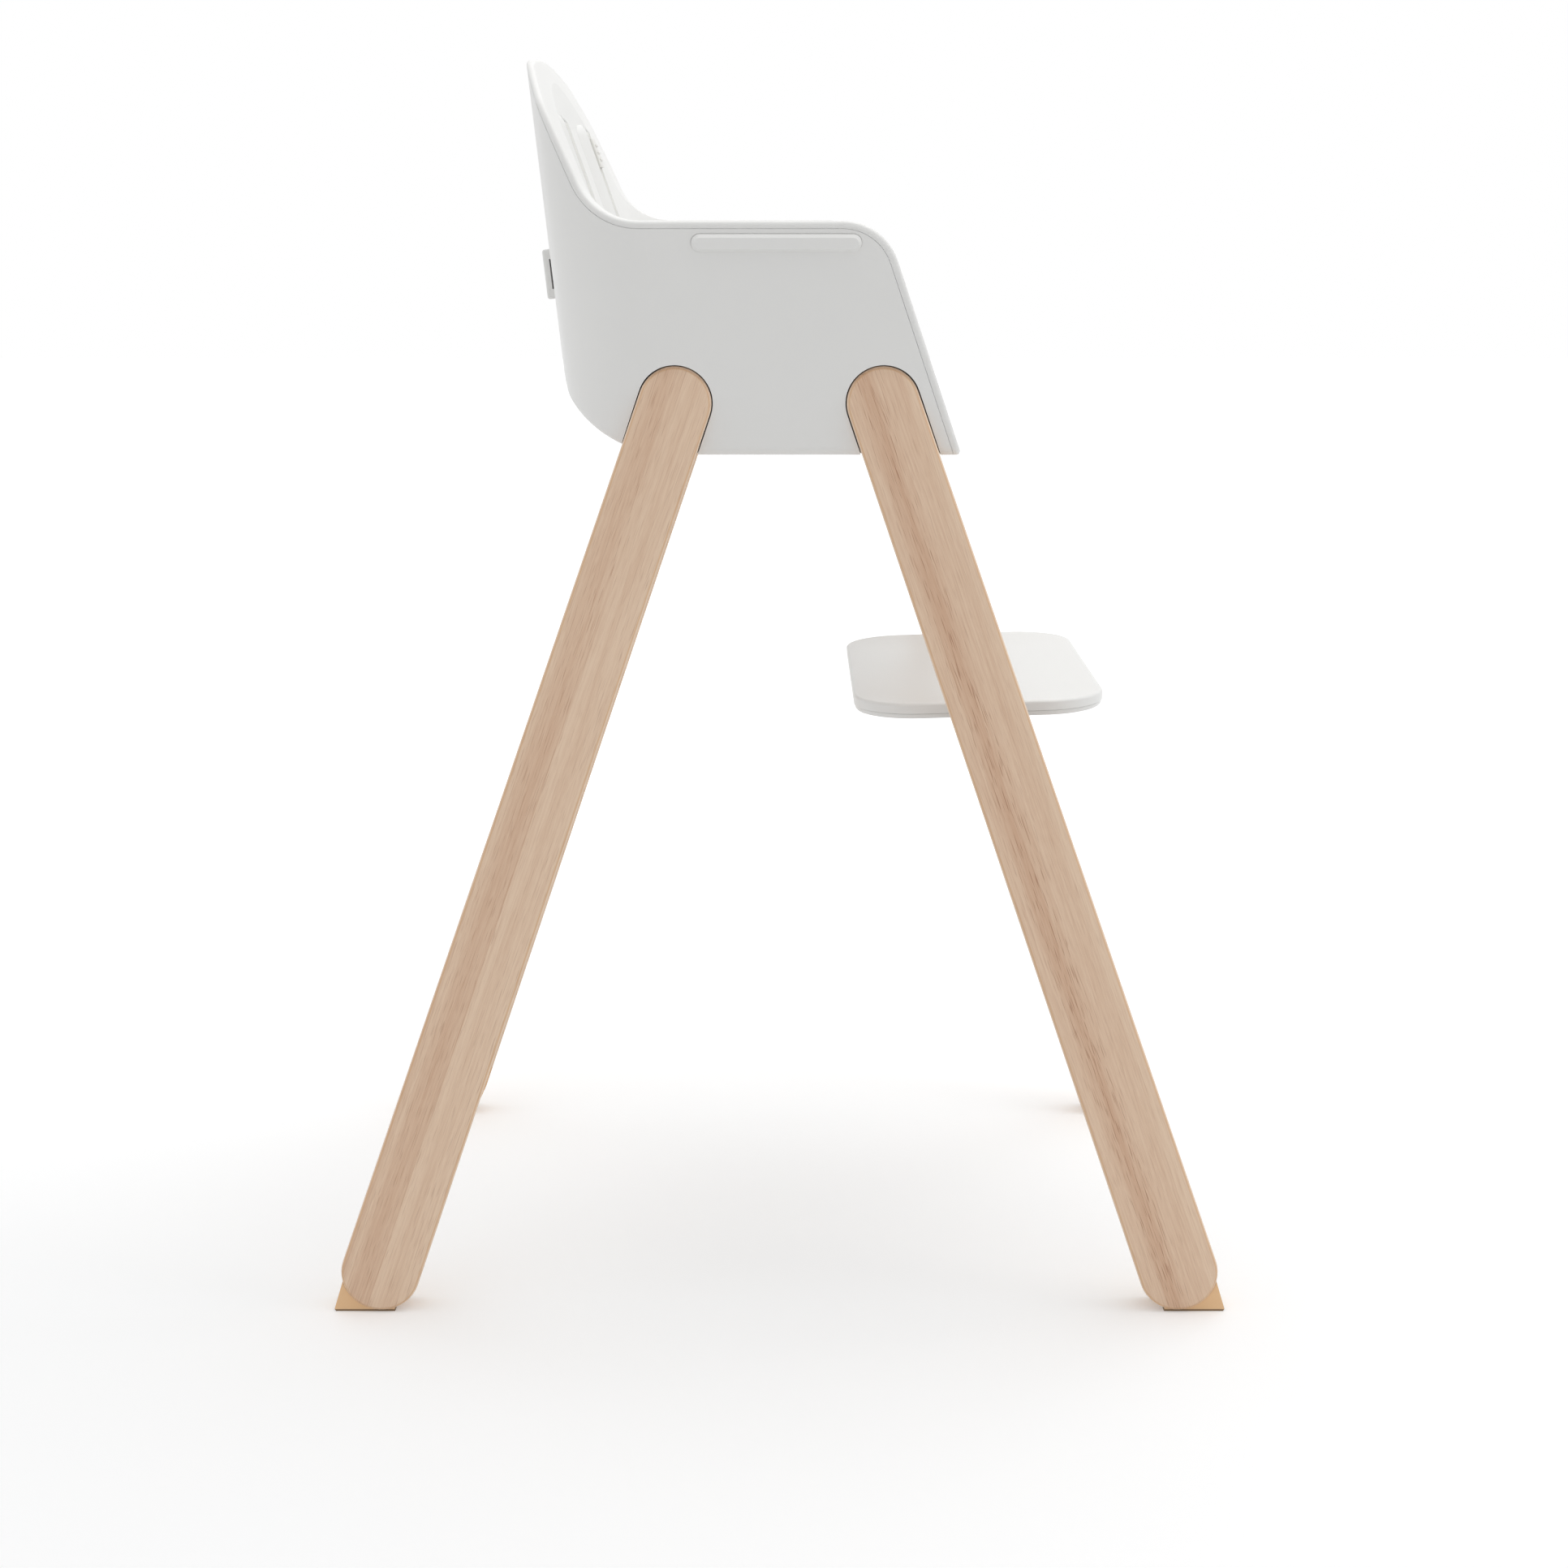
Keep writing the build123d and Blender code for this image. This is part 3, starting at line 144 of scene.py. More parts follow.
class ShaderBoard(NodeBoard):
    """The nodes of one material, round its Principled shader."""

    def __init__(self, name: str) -> None:
        """Starts a material.

        Args:
            name: the finish's name.
        """
        self.material = bpy.data.materials.new(name)
        self.material.use_nodes = True
        super().__init__(self.material.node_tree)
        self.shader = self.tree.nodes["Principled BSDF"]
        self.output = self.tree.nodes["Material Output"]

    def place(self) -> Socket:
        """Returns the Object coordinates, which are the frame's own metres."""
        return self.add("TexCoord").outputs["Object"]

    def spread(self) -> Socket:
        """Returns the piece's own UV map."""
        return self.add("TexCoord").outputs["UV"]

    def parts(self, vector: Socket) -> bpy.types.bpy_prop_collection:
        """Returns the X, Y and Z of a vector."""
        node = self.add("SeparateXYZ")
        self.link(vector, node.inputs[0])
        return node.outputs

    def mapped(
        self,
        vector: Socket,
        shift: Triple = (0.0, 0.0, 0.0),
        turn: Triple = (0.0, 0.0, 0.0),
        scale: Triple = (1.0, 1.0, 1.0),
    ) -> Socket:
        """Moves, turns and stretches coordinates.

        Args:
            vector: the coordinates.
            shift: added after the turn.
            turn: angles about X, Y and Z in radians.
            scale: applied before the turn.

        Returns:
            The new coordinates.
        """
        node = self.add("Mapping")
        node.inputs["Location"].default_value = shift
        node.inputs["Rotation"].default_value = turn
        node.inputs["Scale"].default_value = scale
        self.link(vector, node.inputs["Vector"])
        return node.outputs["Vector"]

    def noise(self, vector: Socket, scale: float, detail: float = 2.0, rough: float = 0.5) -> Socket:
        """Returns a noise from 0 to 1.

        Args:
            vector: the coordinates.
            scale: cells per unit.
            detail: octaves.
            rough: share of each finer octave.

        Returns:
            The noise's value.
        """
        node = self.add("TexNoise")
        node.inputs["Scale"].default_value = scale
        node.inputs["Detail"].default_value = detail
        node.inputs["Roughness"].default_value = rough
        self.link(vector, node.inputs["Vector"])
        return node.outputs["Fac"]

    def steps(self, value: Socket, low: float, high: float, start: float = 0.0, end: float = 1.0) -> Socket:
        """Returns a value smoothly stepped from start at low to end at high.

        Args:
            value: what is read.
            low: where the step starts.
            high: where it ends.
            start: the result up to low.
            end: the result from high.

        Returns:
            The stepped value.
        """
        node = self.add("MapRange", interpolation_type="SMOOTHSTEP")
        for name, number in (("From Min", low), ("From Max", high), ("To Min", start), ("To Max", end)):
            node.inputs[name].default_value = number
        self.link(value, node.inputs["Value"])
        return node.outputs["Result"]

    def ramp(self, value: Socket, stops: Stops) -> Socket:
        """Returns a share read off a smooth ramp.

        Args:
            value: where on the ramp, 0 to 1.
            stops: places along the ramp and their shares.

        Returns:
            The share.
        """
        node = self.add("ValToRGB")
        node.color_ramp.interpolation = "EASE"
        marks = node.color_ramp.elements
        while len(marks) < len(stops):
            marks.new(0.5)
        for mark, (place, share) in zip(marks, stops):
            mark.position = place
            mark.color = (share, share, share, 1.0)
        self.link(value, node.inputs["Fac"])
        return node.outputs["Color"]

    def blend(self, share: Socket, first: object, second: object) -> Socket:
        """Returns a mix of two colours.

        Args:
            share: 0 for the first colour, 1 for the second.
            first: a colour or a socket.
            second: a colour or a socket.

        Returns:
            The colour.
        """
        node = self.add("Mix", data_type="RGBA")
        self.link(share, node.inputs["Factor"])
        for place, colour in ((MIX_FIRST, first), (MIX_SECOND, second)):
            if isinstance(colour, Socket):
                self.link(colour, node.inputs[place])
            else:
                node.inputs[place].default_value = (*colour, 1.0)
        return node.outputs[MIX_RESULT]

    def bump(self, height: Socket, strength: float, distance: float) -> None:
        """Lays a relief on the surface.

        Args:
            height: the relief, 0 to 1.
            strength: how much of it shows.
            distance: its height in metres.
        """
        node = self.add("Bump")
        node.inputs["Strength"].default_value = strength
        node.inputs["Distance"].default_value = distance
        self.link(height, node.inputs["Height"])
        self.link(node.outputs["Normal"], self.shader.inputs["Normal"])

    def colour(self, source: Socket) -> None:
        """Feeds the shader's colour."""
        self.link(source, self.shader.inputs["Base Color"])

    def roughness(self, source: Socket) -> None:
        """Feeds the shader's roughness."""
        self.link(source, self.shader.inputs["Roughness"])

    def fix(self, **numbers: object) -> None:
        """Sets the shader's own sockets.

        Args:
            numbers: values by socket name, with underscores for spaces.
        """
        for name, number in numbers.items():
            self.shader.inputs[name.replace("_", " ")].default_value = number

    def soak(self, weight: float, depth: float) -> None:
        """Lets light soak into the surface.

        Args:
            weight: the share of the light that does.
            depth: how far it goes, in metres.
        """
        self.fix(Subsurface_Weight=weight, Subsurface_Radius=(1.0, 1.0, 1.0), Subsurface_Scale=depth)


def shaded(colour: Triple, share: float) -> Triple:
    """Returns a colour made darker or lighter.

    Args:
        colour: the linear colour.
        share: how much of it is left.

    Returns:
        The new colour.
    """
    return tuple(channel * share for channel in colour)


@dataclass(frozen=True)
class MouldedPlastic:
    """Satin injection-moulded plastic with a fine spark-eroded grain.

    Args:
        name: the material's name.
        colour: its linear colour.
        rough: mean roughness.
        rough_swing: how far the grain takes the roughness either way.
        grain: size of the moulded grain in metres.
        relief, relief_share: depth of the grain in metres, and how much of it shows.
        cloud, cloud_cells: how much the tone drifts over the piece, and drifts in a metre.
        dark_band: a darker tone below this height above the floor, or None.
        dark_band_edge: over what height the darker tone ends.
            dark_band_share, dark_band_shade: how much of the darker tone shows, and what share of the
                colour is left there.
        soak, soak_share: how far light soaks into the plastic, and the share of it that does.
    """

    name: str
    colour: Triple
    rough: float = 0.42
    rough_swing: float = 0.05
    grain: float = 0.0009
    relief: float = 0.00002
    relief_share: float = 0.35
    cloud: float = 0.03
    cloud_cells: float = 9.0
    dark_band: float | None = None
    dark_band_edge: float = 0.0005
    dark_band_share: float = 0.85
    dark_band_shade: float = 0.16
    soak: float = 0.0
    soak_share: float = 0.3

    def material(self) -> bpy.types.Material:
        """Returns the finish as a material."""
        board = ShaderBoard(self.name)
        place = board.place()
        drift = board.noise(place, self.cloud_cells, detail=3.0)
        tone = board.blend(drift, shaded(self.colour, 1.0 - self.cloud), self.colour)
        # a darker band up to a given height above the floor, used along the foot's sole
        if self.dark_band is not None:
            height = board.parts(place)["Z"]
            sole = board.steps(height, self.dark_band, self.dark_band + self.dark_band_edge, self.dark_band_share, 0.0)
            tone = board.blend(sole, tone, shaded(self.colour, self.dark_band_shade))
        board.colour(tone)
        speck = board.noise(place, 1.0 / self.grain, rough=0.6)
        smoothest = self.rough - self.rough_swing
        board.roughness(board.steps(speck, 0.25, 0.75, smoothest, self.rough + self.rough_swing))
        board.bump(speck, self.relief_share, self.relief)
        if self.soak > 0.0:
            board.soak(self.soak_share, self.soak)
        return board.material


@dataclass(frozen=True)
class LegWood:
    """Straight-grained pale hardwood with pores, a banded figure, and painted shade and highlight along its
    rounded edge.

    Args:
        name: the material's name.
        end: which end of the chair the leg stands at, for the way its grain leans.
        seed: shifts the figure so that no two legs match.
        figure: the reddish share of the wood at places from 0 to 1 across the leg, towards the rear.
        pored: the depth of the pores at places from 0 to 1 across the leg.
        seam: where a glued seam lies across the leg in metres, or None for a single board.
        pale, red, pore: the wood's lighter and darker colours, and the colour in its pores.
        amber, edge_shade_share: an orange-brown painted shade in a band just inside a rounded edge, and how
            much of it shows.
        worn, edge_highlight_share: a pale painted highlight on the rounded edge itself, and how much of it
            shows.
        band_cells: bands in a metre through the leg, across it and along it.
        line_cells, fibre_cells, pore_cells: growth lines, fibres and pores, likewise.
        seed_turns: how the seed shifts the figure through the leg, across it and along it.
        sway: how far the bands push the figure aside, as a factor and a shift.
        line_swing, fibre_swing: how lines and fibres change the reddish share, likewise.
        seam_low, seam_high: the heights on the leg where the seam starts to fade and is gone.
    """

    name: str
    end: End
    seed: float
    figure: Stops
    pored: Stops
    seam: float | None
    pale: Triple = (0.838, 0.638, 0.472)
    red: Triple = (0.668, 0.438, 0.298)
    pore: Triple = (0.440, 0.240, 0.150)
    edge_shade: Triple = (0.690, 0.420, 0.215)
    edge_shade_share: float = 0.62
    edge_highlight: Triple = (0.880, 0.720, 0.570)
    edge_highlight_share: float = 0.55
    band_cells: Triple = (30.0, 46.0, 1.7)
    line_cells: Triple = (320.0, 760.0, 13.0)
    fibre_cells: Triple = (900.0, 1700.0, 90.0)
    pore_cells: Triple = (700.0, 1500.0, 52.0)
    seed_turns: Triple = (1.0, 0.37, 0.71)
    sway: Pair = (0.143, -0.0715)
    line_swing: Pair = (1.15, -0.58)
    fibre_swing: Pair = (0.70, -0.35)
    seam_low: float = 0.34
    seam_high: float = 0.44

    def material(self) -> bpy.types.Material:
        """Returns the finish as a material."""
        board = ShaderBoard(self.name)
        lean = self.end.value
        along = board.mapped(
            board.place(), shift=(0.0, -LEG_AXIS_SHIFT * lean, 0.0), turn=(-LEG_TILT * lean, 0.0, 0.0)
        )
        bands = self.streaks(board, along, self.band_cells)
        lines = self.streaks(board, along, self.line_cells, detail=3.0, rough=0.6)
        fibre = self.streaks(board, along, self.fibre_cells, rough=0.6)
        pores = self.streaks(board, along, self.pore_cells, detail=1.0)
        spot = board.calc("MULTIPLY_ADD", board.parts(along)["Y"], 1.0 / LEG_WIDTH, 0.5)
        swayed = board.calc("ADD", spot, board.calc("MULTIPLY_ADD", bands, *self.sway))
        share = board.ramp(swayed, self.figure)
        if self.seam is not None:
            share = self.seamed(board, along, share)
        share = board.calc("ADD", share, board.calc("MULTIPLY_ADD", lines, *self.line_swing))
        share = board.calc("ADD", share, board.calc("MULTIPLY_ADD", fibre, *self.fibre_swing))
        share = board.calc("MINIMUM", board.calc("MAXIMUM", share, 0.0), 1.0)
        depth = board.calc("MULTIPLY", board.steps(pores, 0.57, 0.70), board.ramp(swayed, self.pored))
        tone = board.blend(depth, board.blend(share, self.pale, self.red), self.pore)
        # the wood's colour, with painted shade and painted highlight along the rounded edges
        board.colour(self.painted_edge_light(board, tone))
        board.roughness(board.steps(lines, 0.2, 0.8, start=0.46, end=0.60))
        relief = board.calc("SUBTRACT", board.calc("MULTIPLY", lines, 0.4), depth)
        board.bump(relief, strength=0.35, distance=0.00015)
        board.fix(Specular_IOR_Level=0.35)
        return board.material

    def streaks(
        self, board: ShaderBoard, along: Socket, cells: Triple, detail: float = 2.0, rough: float = 0.5
    ) -> Socket:
        """Returns a noise drawn out along the leg.

        Args:
            board: the material's nodes.
            along: coordinates in line with the leg.
            cells: streaks in a metre through the leg, across it and along it.
            detail: octaves.
            rough: share of each finer octave.

        Returns:
            The noise's value.
        """
        offset = tuple(self.seed * turn for turn in self.seed_turns)
        return board.noise(board.mapped(along, shift=offset, scale=cells), 1.0, detail, rough)

    def painted_edge_light(self, board: ShaderBoard, tone: Socket) -> Socket:
        """Adds a painted shade line where a face turns into its rounded edge, and a painted highlight on
        the edge itself.

        Args:
            board: the material's nodes.
            tone: the wood's colour so far.

        Returns:
            The new colour.
        """
        normal = board.add("NewGeometry").outputs["Normal"]
        facing = board.calc("ABSOLUTE", board.parts(normal)["X"])
        # painted shade: an orange-brown band where the flat face turns into its rounded edge
        off_face = board.steps(facing, 0.93, 0.9985, start=1.0, end=0.0)
        edge_shade_mask = board.calc("MULTIPLY", off_face, board.steps(facing, 0.72, 0.9))
        tone = board.blend(board.calc("MULTIPLY", edge_shade_mask, self.edge_shade_share), tone, self.edge_shade)
        # painted highlight: a pale tone on the rounded edge, beyond the painted shade band
        off_arris = board.steps(facing, 0.6, 0.75, start=self.edge_highlight_share, end=0.0)
        edge_highlight_mask = board.calc("MULTIPLY", board.steps(facing, 0.2, 0.4), off_arris)
        return board.blend(edge_highlight_mask, tone, self.edge_highlight)

    def seamed(self, board: ShaderBoard, along: Socket, share: Socket) -> Socket:
        """Adds the step in tone where two boards are glued, which shows on the lower half of the leg.

        Args:
            board: the material's nodes.
            along: coordinates in line with the leg.
            share: the reddish share so far.

        Returns:
            The new share.
        """
        axes = board.parts(along)
        across = board.calc("SUBTRACT", axes["Y"], self.seam)
        beyond = board.steps(across, -0.00025, 0.00025, start=-0.14, end=0.20)
        faded = board.steps(across, 0.0, 0.017, start=1.0, end=0.0)
        lit = board.steps(across, -0.012, 0.0)
        glued = board.steps(across, 0.0001, 0.0011, start=0.34, end=0.0)
        line = board.calc("MULTIPLY", board.steps(across, -0.0003, 0.0001), glued)
        step = board.calc("MULTIPLY_ADD", beyond, board.calc("MULTIPLY", faded, lit), line)
        shown = board.steps(axes["Z"], self.seam_low, self.seam_high, start=1.0, end=0.0)
        return board.calc("MULTIPLY_ADD", step, shown, share)


@dataclass(frozen=True)
class Webbing:
    """Close-woven polyester strap.

    Args:
        name: the material's name.
        colour: its linear colour.
        yarn: pitch of the weave in metres, read from the strap's UV map in metres.
        hollow_shade: what share of the colour is left between the yarns.
        stitch: pitch of the stitches along both selvedges.
        seam: how far the stitches lie from the middle of the strap.
        thread: how much lighter the thread is than the yarn.
        thread_stand: how far the thread stands out, in heights of the weave.
        fuzz_cells: loose fibres in a metre.
        relief: depth of the weave in metres.
        sheen: strength of the yarn's sheen.
        soak: the share of light that soaks in, and how far.
    """

    name: str
    colour: Triple
    yarn: float = 0.0013
    hollow_shade: float = 0.72
    stitch: float = 0.0034
    seam: float = 0.0078
    thread: float = 1.12
    thread_stand: float = 1.4
    fuzz_cells: float = 1400.0
    relief: float = 0.00025
    sheen: float = 0.25
    soak: Pair = (0.3, 0.003)

    def material(self) -> bpy.types.Material:
        """Returns the finish as a material."""
        board = ShaderBoard(self.name)
        axes = board.parts(board.spread())
        turn = FULL_TURN / self.yarn
        warp = board.calc("SINE", board.calc("MULTIPLY", axes["Y"], turn))
        rows = board.calc("MULTIPLY", axes["X"], turn)
        phase = board.calc("MULTIPLY", board.calc("SIGN", warp), QUARTER_TURN)
        weft = board.calc("SINE", board.calc("ADD", rows, phase))
        crossed = board.calc("MULTIPLY", board.calc("ABSOLUTE", warp), weft)
        cloth = board.calc("MULTIPLY_ADD", crossed, 0.5, 0.5)
        fuzz = board.noise(board.place(), self.fuzz_cells)
        # painted shade: darker colour where the weave dips between the yarns; loose fibres take the same
        # darker tone
        darker = shaded(self.colour, self.hollow_shade)
        tone = board.blend(board.steps(cloth, 0.05, 0.75), darker, self.colour)
        tone = board.blend(board.steps(fuzz, 0.5, 0.8, start=0.0, end=0.25), tone, darker)
        stitched = self.stitched(board, axes)
        board.colour(board.blend(stitched, tone, shaded(self.colour, self.thread)))
        board.roughness(board.steps(fuzz, 0.2, 0.8, start=0.78, end=0.92))
        height = board.calc("MULTIPLY_ADD", stitched, self.thread_stand, cloth)
        board.bump(height, strength=0.6, distance=self.relief)
        board.fix(Sheen_Weight=self.sheen)
        board.soak(*self.soak)
        return board.material

    def stitched(self, board: ShaderBoard, axes: bpy.types.bpy_prop_collection) -> Socket:
        """Returns 1 on the stitches that run along both selvedges.

        Args:
            board: the material's nodes.
            axes: the places along and across the strap.

        Returns:
            The stitches' share.
        """
        aside = board.calc("SUBTRACT", board.calc("ABSOLUTE", axes["Y"]), self.seam)
        row = board.steps(board.calc("ABSOLUTE", aside), 0.0002, 0.0004, start=1.0, end=0.0)
        beat = board.calc("SINE", board.calc("MULTIPLY", axes["X"], FULL_TURN / self.stitch))
        return board.calc("MULTIPLY", row, board.steps(beat, -0.6, -0.3))


@dataclass(frozen=True)
class Metal:
    """Plated or brushed metal.

    Args:
        name: the material's name.
        colour: its linear colour.
        rough: mean roughness.
        rough_swing: how far the brushing takes the roughness either way.
        brush_cells: brush marks in a metre along X, Y and Z.
        groove: what share of the colour is left in a brush mark.
        relief: depth of the brush marks in metres.
    """

    name: str
    colour: Triple
    rough: float = 0.35
    rough_swing: float = 0.07
    brush_cells: Triple = (40.0, 1800.0, 1800.0)
    groove: float = 0.86
    relief: float = 0.00002

    def material(self) -> bpy.types.Material:
        """Returns the finish as a material."""
        board = ShaderBoard(self.name)
        brush = board.noise(board.mapped(board.place(), scale=self.brush_cells), 1.0)
        board.colour(board.blend(brush, shaded(self.colour, self.groove), self.colour))
        smoothest = self.rough - self.rough_swing
        board.roughness(board.steps(brush, 0.2, 0.8, smoothest, self.rough + self.rough_swing))
        board.bump(brush, strength=0.15, distance=self.relief)
        board.fix(Metallic=1.0)
        return board.material


class Palette:
    """Every finish of the chair, made once."""

    def __init__(self) -> None:
        """Makes the finishes."""
        white = (0.83, 0.828, 0.812)
        off_white = (0.78, 0.77, 0.735)
        self.shell = MouldedPlastic("seat_white", white, rough=0.42).material()
        self.bucket = MouldedPlastic("bucket_white", white, rough=0.44, soak=0.003).material()
        self.footrest = MouldedPlastic("footrest_white", (0.825, 0.825, 0.81), rough=0.38).material()
        self.rail = MouldedPlastic("rail_white", white, rough=0.34).material()
        self.foot = MouldedPlastic(
            "foot_tan", (0.89, 0.585, 0.323), rough=0.55, cloud=0.10, dark_band=0.0012
        ).material()
        self.trim = MouldedPlastic("harness_trim", off_white, rough=0.38, soak=0.003).material()
        self.button = MouldedPlastic("buckle_button", (0.72, 0.71, 0.68), rough=0.34).material()
        self.knob = MouldedPlastic("knob_grey", (0.42, 0.42, 0.41), rough=0.45).material()
        self.track = MouldedPlastic("track_grey", (0.55, 0.54, 0.52), rough=0.45).material()
        self.steel = Metal("zinc_steel", (0.62, 0.62, 0.63), rough=0.38).material()
        self.brass = Metal("brass_insert", (0.68, 0.50, 0.22), rough=0.32).material()
        self.webbing = Webbing("harness_webbing", (0.80, 0.79, 0.755)).material()


def dress(material: bpy.types.Material, *nodes: str) -> None:
    """Gives CAD nodes their finish.

    Args:
        material: the finish.
        nodes: the nodes' names.
    """
    for node in nodes:
        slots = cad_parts[node].data.materials
        slots.clear()
        slots.append(material)
        log.info("%s dressed as %s", node, material.name)


@dataclass(frozen=True)
class SoftLamp:
    """A square area lamp.

    Args:
        name: the lamp's name.
        at: where it hangs.
        aim: the point it shines at.
        size: its side.
        power: in watts.
    """

    name: str
    at: Triple
    aim: Triple
    size: float
    power: float

    def hang(self) -> None:
        """Hangs the lamp and aims it."""
        bpy.ops.object.light_add(type="AREA", location=self.at)
        lamp = bpy.context.object
        lamp.name = self.name
        lamp.data.shape = "SQUARE"
        lamp.data.size = self.size
        lamp.data.energy = self.power
        aimed = Vector(self.aim) - Vector(self.at)
        lamp.rotation_euler = aimed.to_track_quat("-Z", "Y").to_euler()


@dataclass
class Studio:
    """Camera, floor, world and lamps of a plain white studio.

    Args:
        camera_at: where the camera stands.
        pitch: how far it looks down, in radians.
        lens: its focal length in millimetres.
        sensor: the width of its sensor in millimetres.
        sight: how far it sees.
        floor_size, floor_colour: the floor's side and its linear colour.
        floor_glow, under_glow: the white that the floor adds on the camera's side, and beyond the chair.
        glow_span: the X where the one starts to give way to the other, and where it has.
        far_glow, far_span: what it adds far from the chair, and how far that starts and is full.
        ambient: the strength of the even light.
        lamps: a wide lamp overhead, and fills from in front of the sitter and behind.
    """

    camera_at: Triple = (-1.8224, -0.0032, 0.7604)
    pitch: float = math.radians(13.04)
    lens: float = 56.0
    sensor: float = 36.0
    sight: float = 60.0
    floor_size: float = 24.0
    floor_colour: Triple = (0.855, 0.86, 0.865)
    floor_glow: float = 0.17
    under_glow: float = 0.27
    glow_span: Pair = (-0.25, 0.35)
    far_glow: float = 0.60
    far_span: Pair = (0.55, 1.5)
    ambient: float = 0.66
    lamps: tuple[SoftLamp, ...] = (
        SoftLamp("lamp_top", (0.1, -0.3, 2.6), (0.0, 0.0, 0.5), size=2.4, power=24.0),
        SoftLamp("lamp_front", (-0.3, -2.6, 1.5), (0.0, 0.0, 0.6), size=2.0, power=9.0),
        SoftLamp("lamp_rear", (-0.3, 2.6, 1.4), (0.0, 0.0, 0.6), size=1.8, power=4.0),
    )

    def build(self) -> None:
        """Sets the camera, the floor and the light."""
        self.set_camera()
        self.lay_floor()
        self.set_world()
        for lamp in self.lamps:
            lamp.hang()

    def set_camera(self) -> None:
        """Puts the camera beside the chair, looking along +X and a little down."""
        bpy.ops.object.camera_add(
            location=self.camera_at, rotation=(QUARTER_TURN - self.pitch, 0.0, -QUARTER_TURN)
        )
        camera = bpy.context.object
        camera.data.lens = self.lens
        camera.data.sensor_width = self.sensor
        camera.data.sensor_fit = "HORIZONTAL"
        camera.data.clip_end = self.sight
        bpy.context.scene.camera = camera

    def lay_floor(self) -> None:
        """Lays a white floor that shows soft contact shadows."""
        bpy.ops.mesh.primitive_plane_add(size=self.floor_size)
        floor = bpy.context.object
        floor.name = "studio_floor"
        board = ShaderBoard("studio_white")
        board.fix(Base_Color=(*self.floor_colour, 1.0), Roughness=0.9, Specular_IOR_Level=0.1)
        place = board.place()
        distance = board.add("VectorMath", operation="LENGTH")
        board.link(place, distance.inputs[0])
        around = board.steps(distance.outputs["Value"], *self.far_span, 0.0, self.far_glow)
        under = board.steps(board.parts(place)["X"], *self.glow_span, self.floor_glow, self.under_glow)
        level = board.calc("MAXIMUM", around, under)
        glow = board.add("Emission")
        glow.inputs["Color"].default_value = (1.0, 1.0, 1.0, 1.0)
        board.link(board.calc("MULTIPLY", board.seen(), level), glow.inputs["Strength"])
        both = board.add("AddShader")
        board.link(board.shader.outputs[0], both.inputs[0])
        board.link(glow.outputs[0], both.inputs[1])
        board.link(both.outputs[0], board.output.inputs["Surface"])
        floor.data.materials.append(board.material)

    def set_world(self) -> None:
        """Fills the room with even light and a white backdrop."""
        world = bpy.data.worlds.new("studio_world")
        bpy.context.scene.world = world
        world.use_nodes = True
        board = NodeBoard(world.node_tree)
        level = board.add("MapRange")
        level.inputs["To Min"].default_value = self.ambient
        level.inputs["To Max"].default_value = 1.0
        board.link(board.seen(), level.inputs["Value"])
        back = world.node_tree.nodes["Background"]
        back.inputs["Color"].default_value = (1.0, 1.0, 1.0, 1.0)
        board.link(level.outputs["Result"], back.inputs["Strength"])


